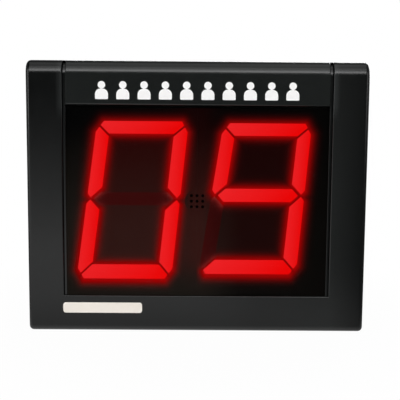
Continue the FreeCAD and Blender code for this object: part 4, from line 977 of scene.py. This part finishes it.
def table_gloss(made):
    """How bright the table looks in the gloss.

    It gets darker away from the case and to its right, is lighter close to its foot, and dark below
    it. The tones run along t / (t + 1), where t is the distance in front of the case.
    """
    x, y, _ = made.axes()
    forward = made.combined("SUBTRACT", FRONT_Y * MM, y)
    ahead = made.combined("MAXIMUM", forward, 0.0)
    share = made.combined("DIVIDE", ahead, made.combined("ADD", ahead, 1.0))
    falling = made.add("ShaderNodeValToRGB", {"Fac": share})
    ramp = falling.color_ramp
    while len(ramp.elements) < len(TABLE_TONES):
        ramp.elements.new(0.5)
    for stop, (reach, tone) in zip(ramp.elements, TABLE_TONES):
        stop.position = reach / (reach + 1)
        stop.color = (tone, tone, tone, 1)
    slanting = made.combined("ADD", x, made.product(forward, TABLE_SLANT))
    leftward = made.ranged(slanting, *TABLE_FADE, 1.0, 0.0, interpolation_type="SMOOTHSTEP")
    lit = made.product(leftward, falling.outputs["Color"])
    near = made.combined(
        "ADD",
        made.ranged(forward, *FOOT_REACH, FOOT_TONE, 0.0),
        made.ranged(slanting, *RIGHT_REACH, 0.0, RIGHT_TONE),
    )
    under = made.ranged(forward, *UNDER_REACH, UNDER_TONE, 1.0)
    return made.product(made.combined("ADD", lit, near), under)


def stage_material():
    """White floor that keeps a little of the object's shadow.

    Camera rays see mostly plain white, transmitted ones see white, and glossy ones see the table's
    own tones.
    """
    made = Finish("floor", Roughness=0.9, Base_Color=(0.8, 0.8, 0.8, 1))
    path = made.add("ShaderNodeLightPath")
    glossy = path.outputs["Is Glossy Ray"]
    strength = made.add(
        "ShaderNodeMix", {0: glossy, 2: 1.0, 3: table_gloss(made)}, data_type="FLOAT"
    ).outputs[0]
    glow = made.add("ShaderNodeEmission", {"Color": (1, 1, 1, 1), "Strength": strength})
    distance = made.add(
        "ShaderNodeVectorMath", {0: made.where()}, operation="LENGTH"
    ).outputs["Value"]
    plain = made.ranged(distance, *SHADOW_REACH, WHITE_SHARE, 1.0)
    seen = made.combined("MAXIMUM", made.product(path.outputs["Is Camera Ray"], plain), glossy)
    seen = made.combined("MAXIMUM", seen, path.outputs["Is Transmission Ray"])
    blend = made.add(
        "ShaderNodeMixShader", {"Fac": seen, 1: made.shader.outputs[0], 2: glow.outputs[0]}
    )
    ending = made.tree.nodes["Material Output"].inputs["Surface"]
    made.tree.links.new(blend.outputs[0], ending)
    return made.material


def make_floor():
    """A flat floor under the feet."""
    reach = FLOOR_REACH
    corners = [(x, y, 0) for x, y in box_corners(-reach, -reach, reach, reach)]
    mesh = bpy.data.meshes.new("floor")
    mesh.from_pydata(corners, [], [(0, 1, 2, 3)])
    mesh.materials.append(stage_material())
    floor = bpy.data.objects.new("floor", mesh)
    scene.collection.objects.link(floor)


# The room's even light, and its lighter parts in the gloss: where along y, x and |x| of a direction
# each starts and ends, and how bright it gets
ROOM_LIGHT = 0.25
ROOM_BEHIND, ROOM_RIGHT, ROOM_SIDES = (0.1, 0.5, 0.10), (0.0, 0.2, 0.12), (0.6, 1.0, 0.3)


def make_world():
    """White to the camera and through glass, and a dim even light on everything.

    Gloss sees a dark room that is a little lighter to the right, at both sides and behind.
    """
    world = bpy.data.worlds.new("studio")
    world.use_nodes = True
    made = Nodes(world.node_tree)
    made.tree.nodes.clear()

    def lighter(value, ramp):
        start, end, height = ramp
        return made.ranged(value, start, end, 0.0, height)

    def background(strength):
        inputs = {"Color": (1, 1, 1, 1), "Strength": strength}
        return made.add("ShaderNodeBackground", inputs).outputs[0]

    def mix(share, one, other):
        return made.add("ShaderNodeMixShader", {"Fac": share, 1: one, 2: other}).outputs[0]

    path = made.add("ShaderNodeLightPath")
    toward = made.add("ShaderNodeTexCoord").outputs["Generated"]
    x, y, _ = made.add("ShaderNodeSeparateXYZ", {"Vector": toward}).outputs
    room = made.combined("ADD", lighter(y, ROOM_BEHIND), lighter(x, ROOM_RIGHT))
    room = made.combined("ADD", room, lighter(made.combined("ABSOLUTE", x), ROOM_SIDES))
    dull = mix(path.outputs["Is Glossy Ray"], background(ROOM_LIGHT), background(room))
    direct = made.combined(
        "MAXIMUM", path.outputs["Is Camera Ray"], path.outputs["Is Transmission Ray"]
    )
    seen = mix(direct, dull, background(1.0))
    made.add("ShaderNodeOutputWorld", {"Surface": seen})
    scene.world = world


def make_lamp(name, place, target, width, height, watts):
    """A rectangular soft lamp that faces the target."""
    light = bpy.data.lights.new(name, "AREA")
    light.shape = "RECTANGLE"
    light.size, light.size_y, light.energy = width, height, watts
    lamp = bpy.data.objects.new(name, light)
    place = Vector(place)
    lamp.rotation_mode = "QUATERNION"
    lamp.location = place
    lamp.rotation_quaternion = (Vector(target) - place).to_track_quat("-Z", "Y")
    scene.collection.objects.link(lamp)


# Each lamp's place and the point that it faces, its width and height, and its watts
LAMPS = {
    "soft_front": ((-0.15, -1.60, 0.92), (0, 0, 0.20), 1.8, 0.40, 9.5),
    "soft_middle": ((-0.10, -1.38, 1.28), (0, 0, 0.20), 1.8, 0.40, 5.0),
    "soft_high": ((0.0, -1.03, 1.62), (0, 0, 0.20), 1.8, 0.40, 3.0),
    "soft_over": ((0.0, -0.19, 1.9), (0, -0.15, 0), 1.6, 1.5, 4.6),
    "soft_left": ((-1.3, -0.9, 0.45), (0, 0, 0.12), 0.3, 0.8, 3.0),
    "soft_right": ((1.3, -0.9, 0.45), (0, 0, 0.12), 0.3, 0.8, 1.8),
    "soft_back": ((0.5, 1.6, 0.45), (0, 0, 0.12), 1.8, 0.5, 14.0),
}

make_floor()
make_world()
for lamp_name, lamp_facts in LAMPS.items():
    make_lamp(lamp_name, *lamp_facts)

scene.view_settings.view_transform = "Standard"
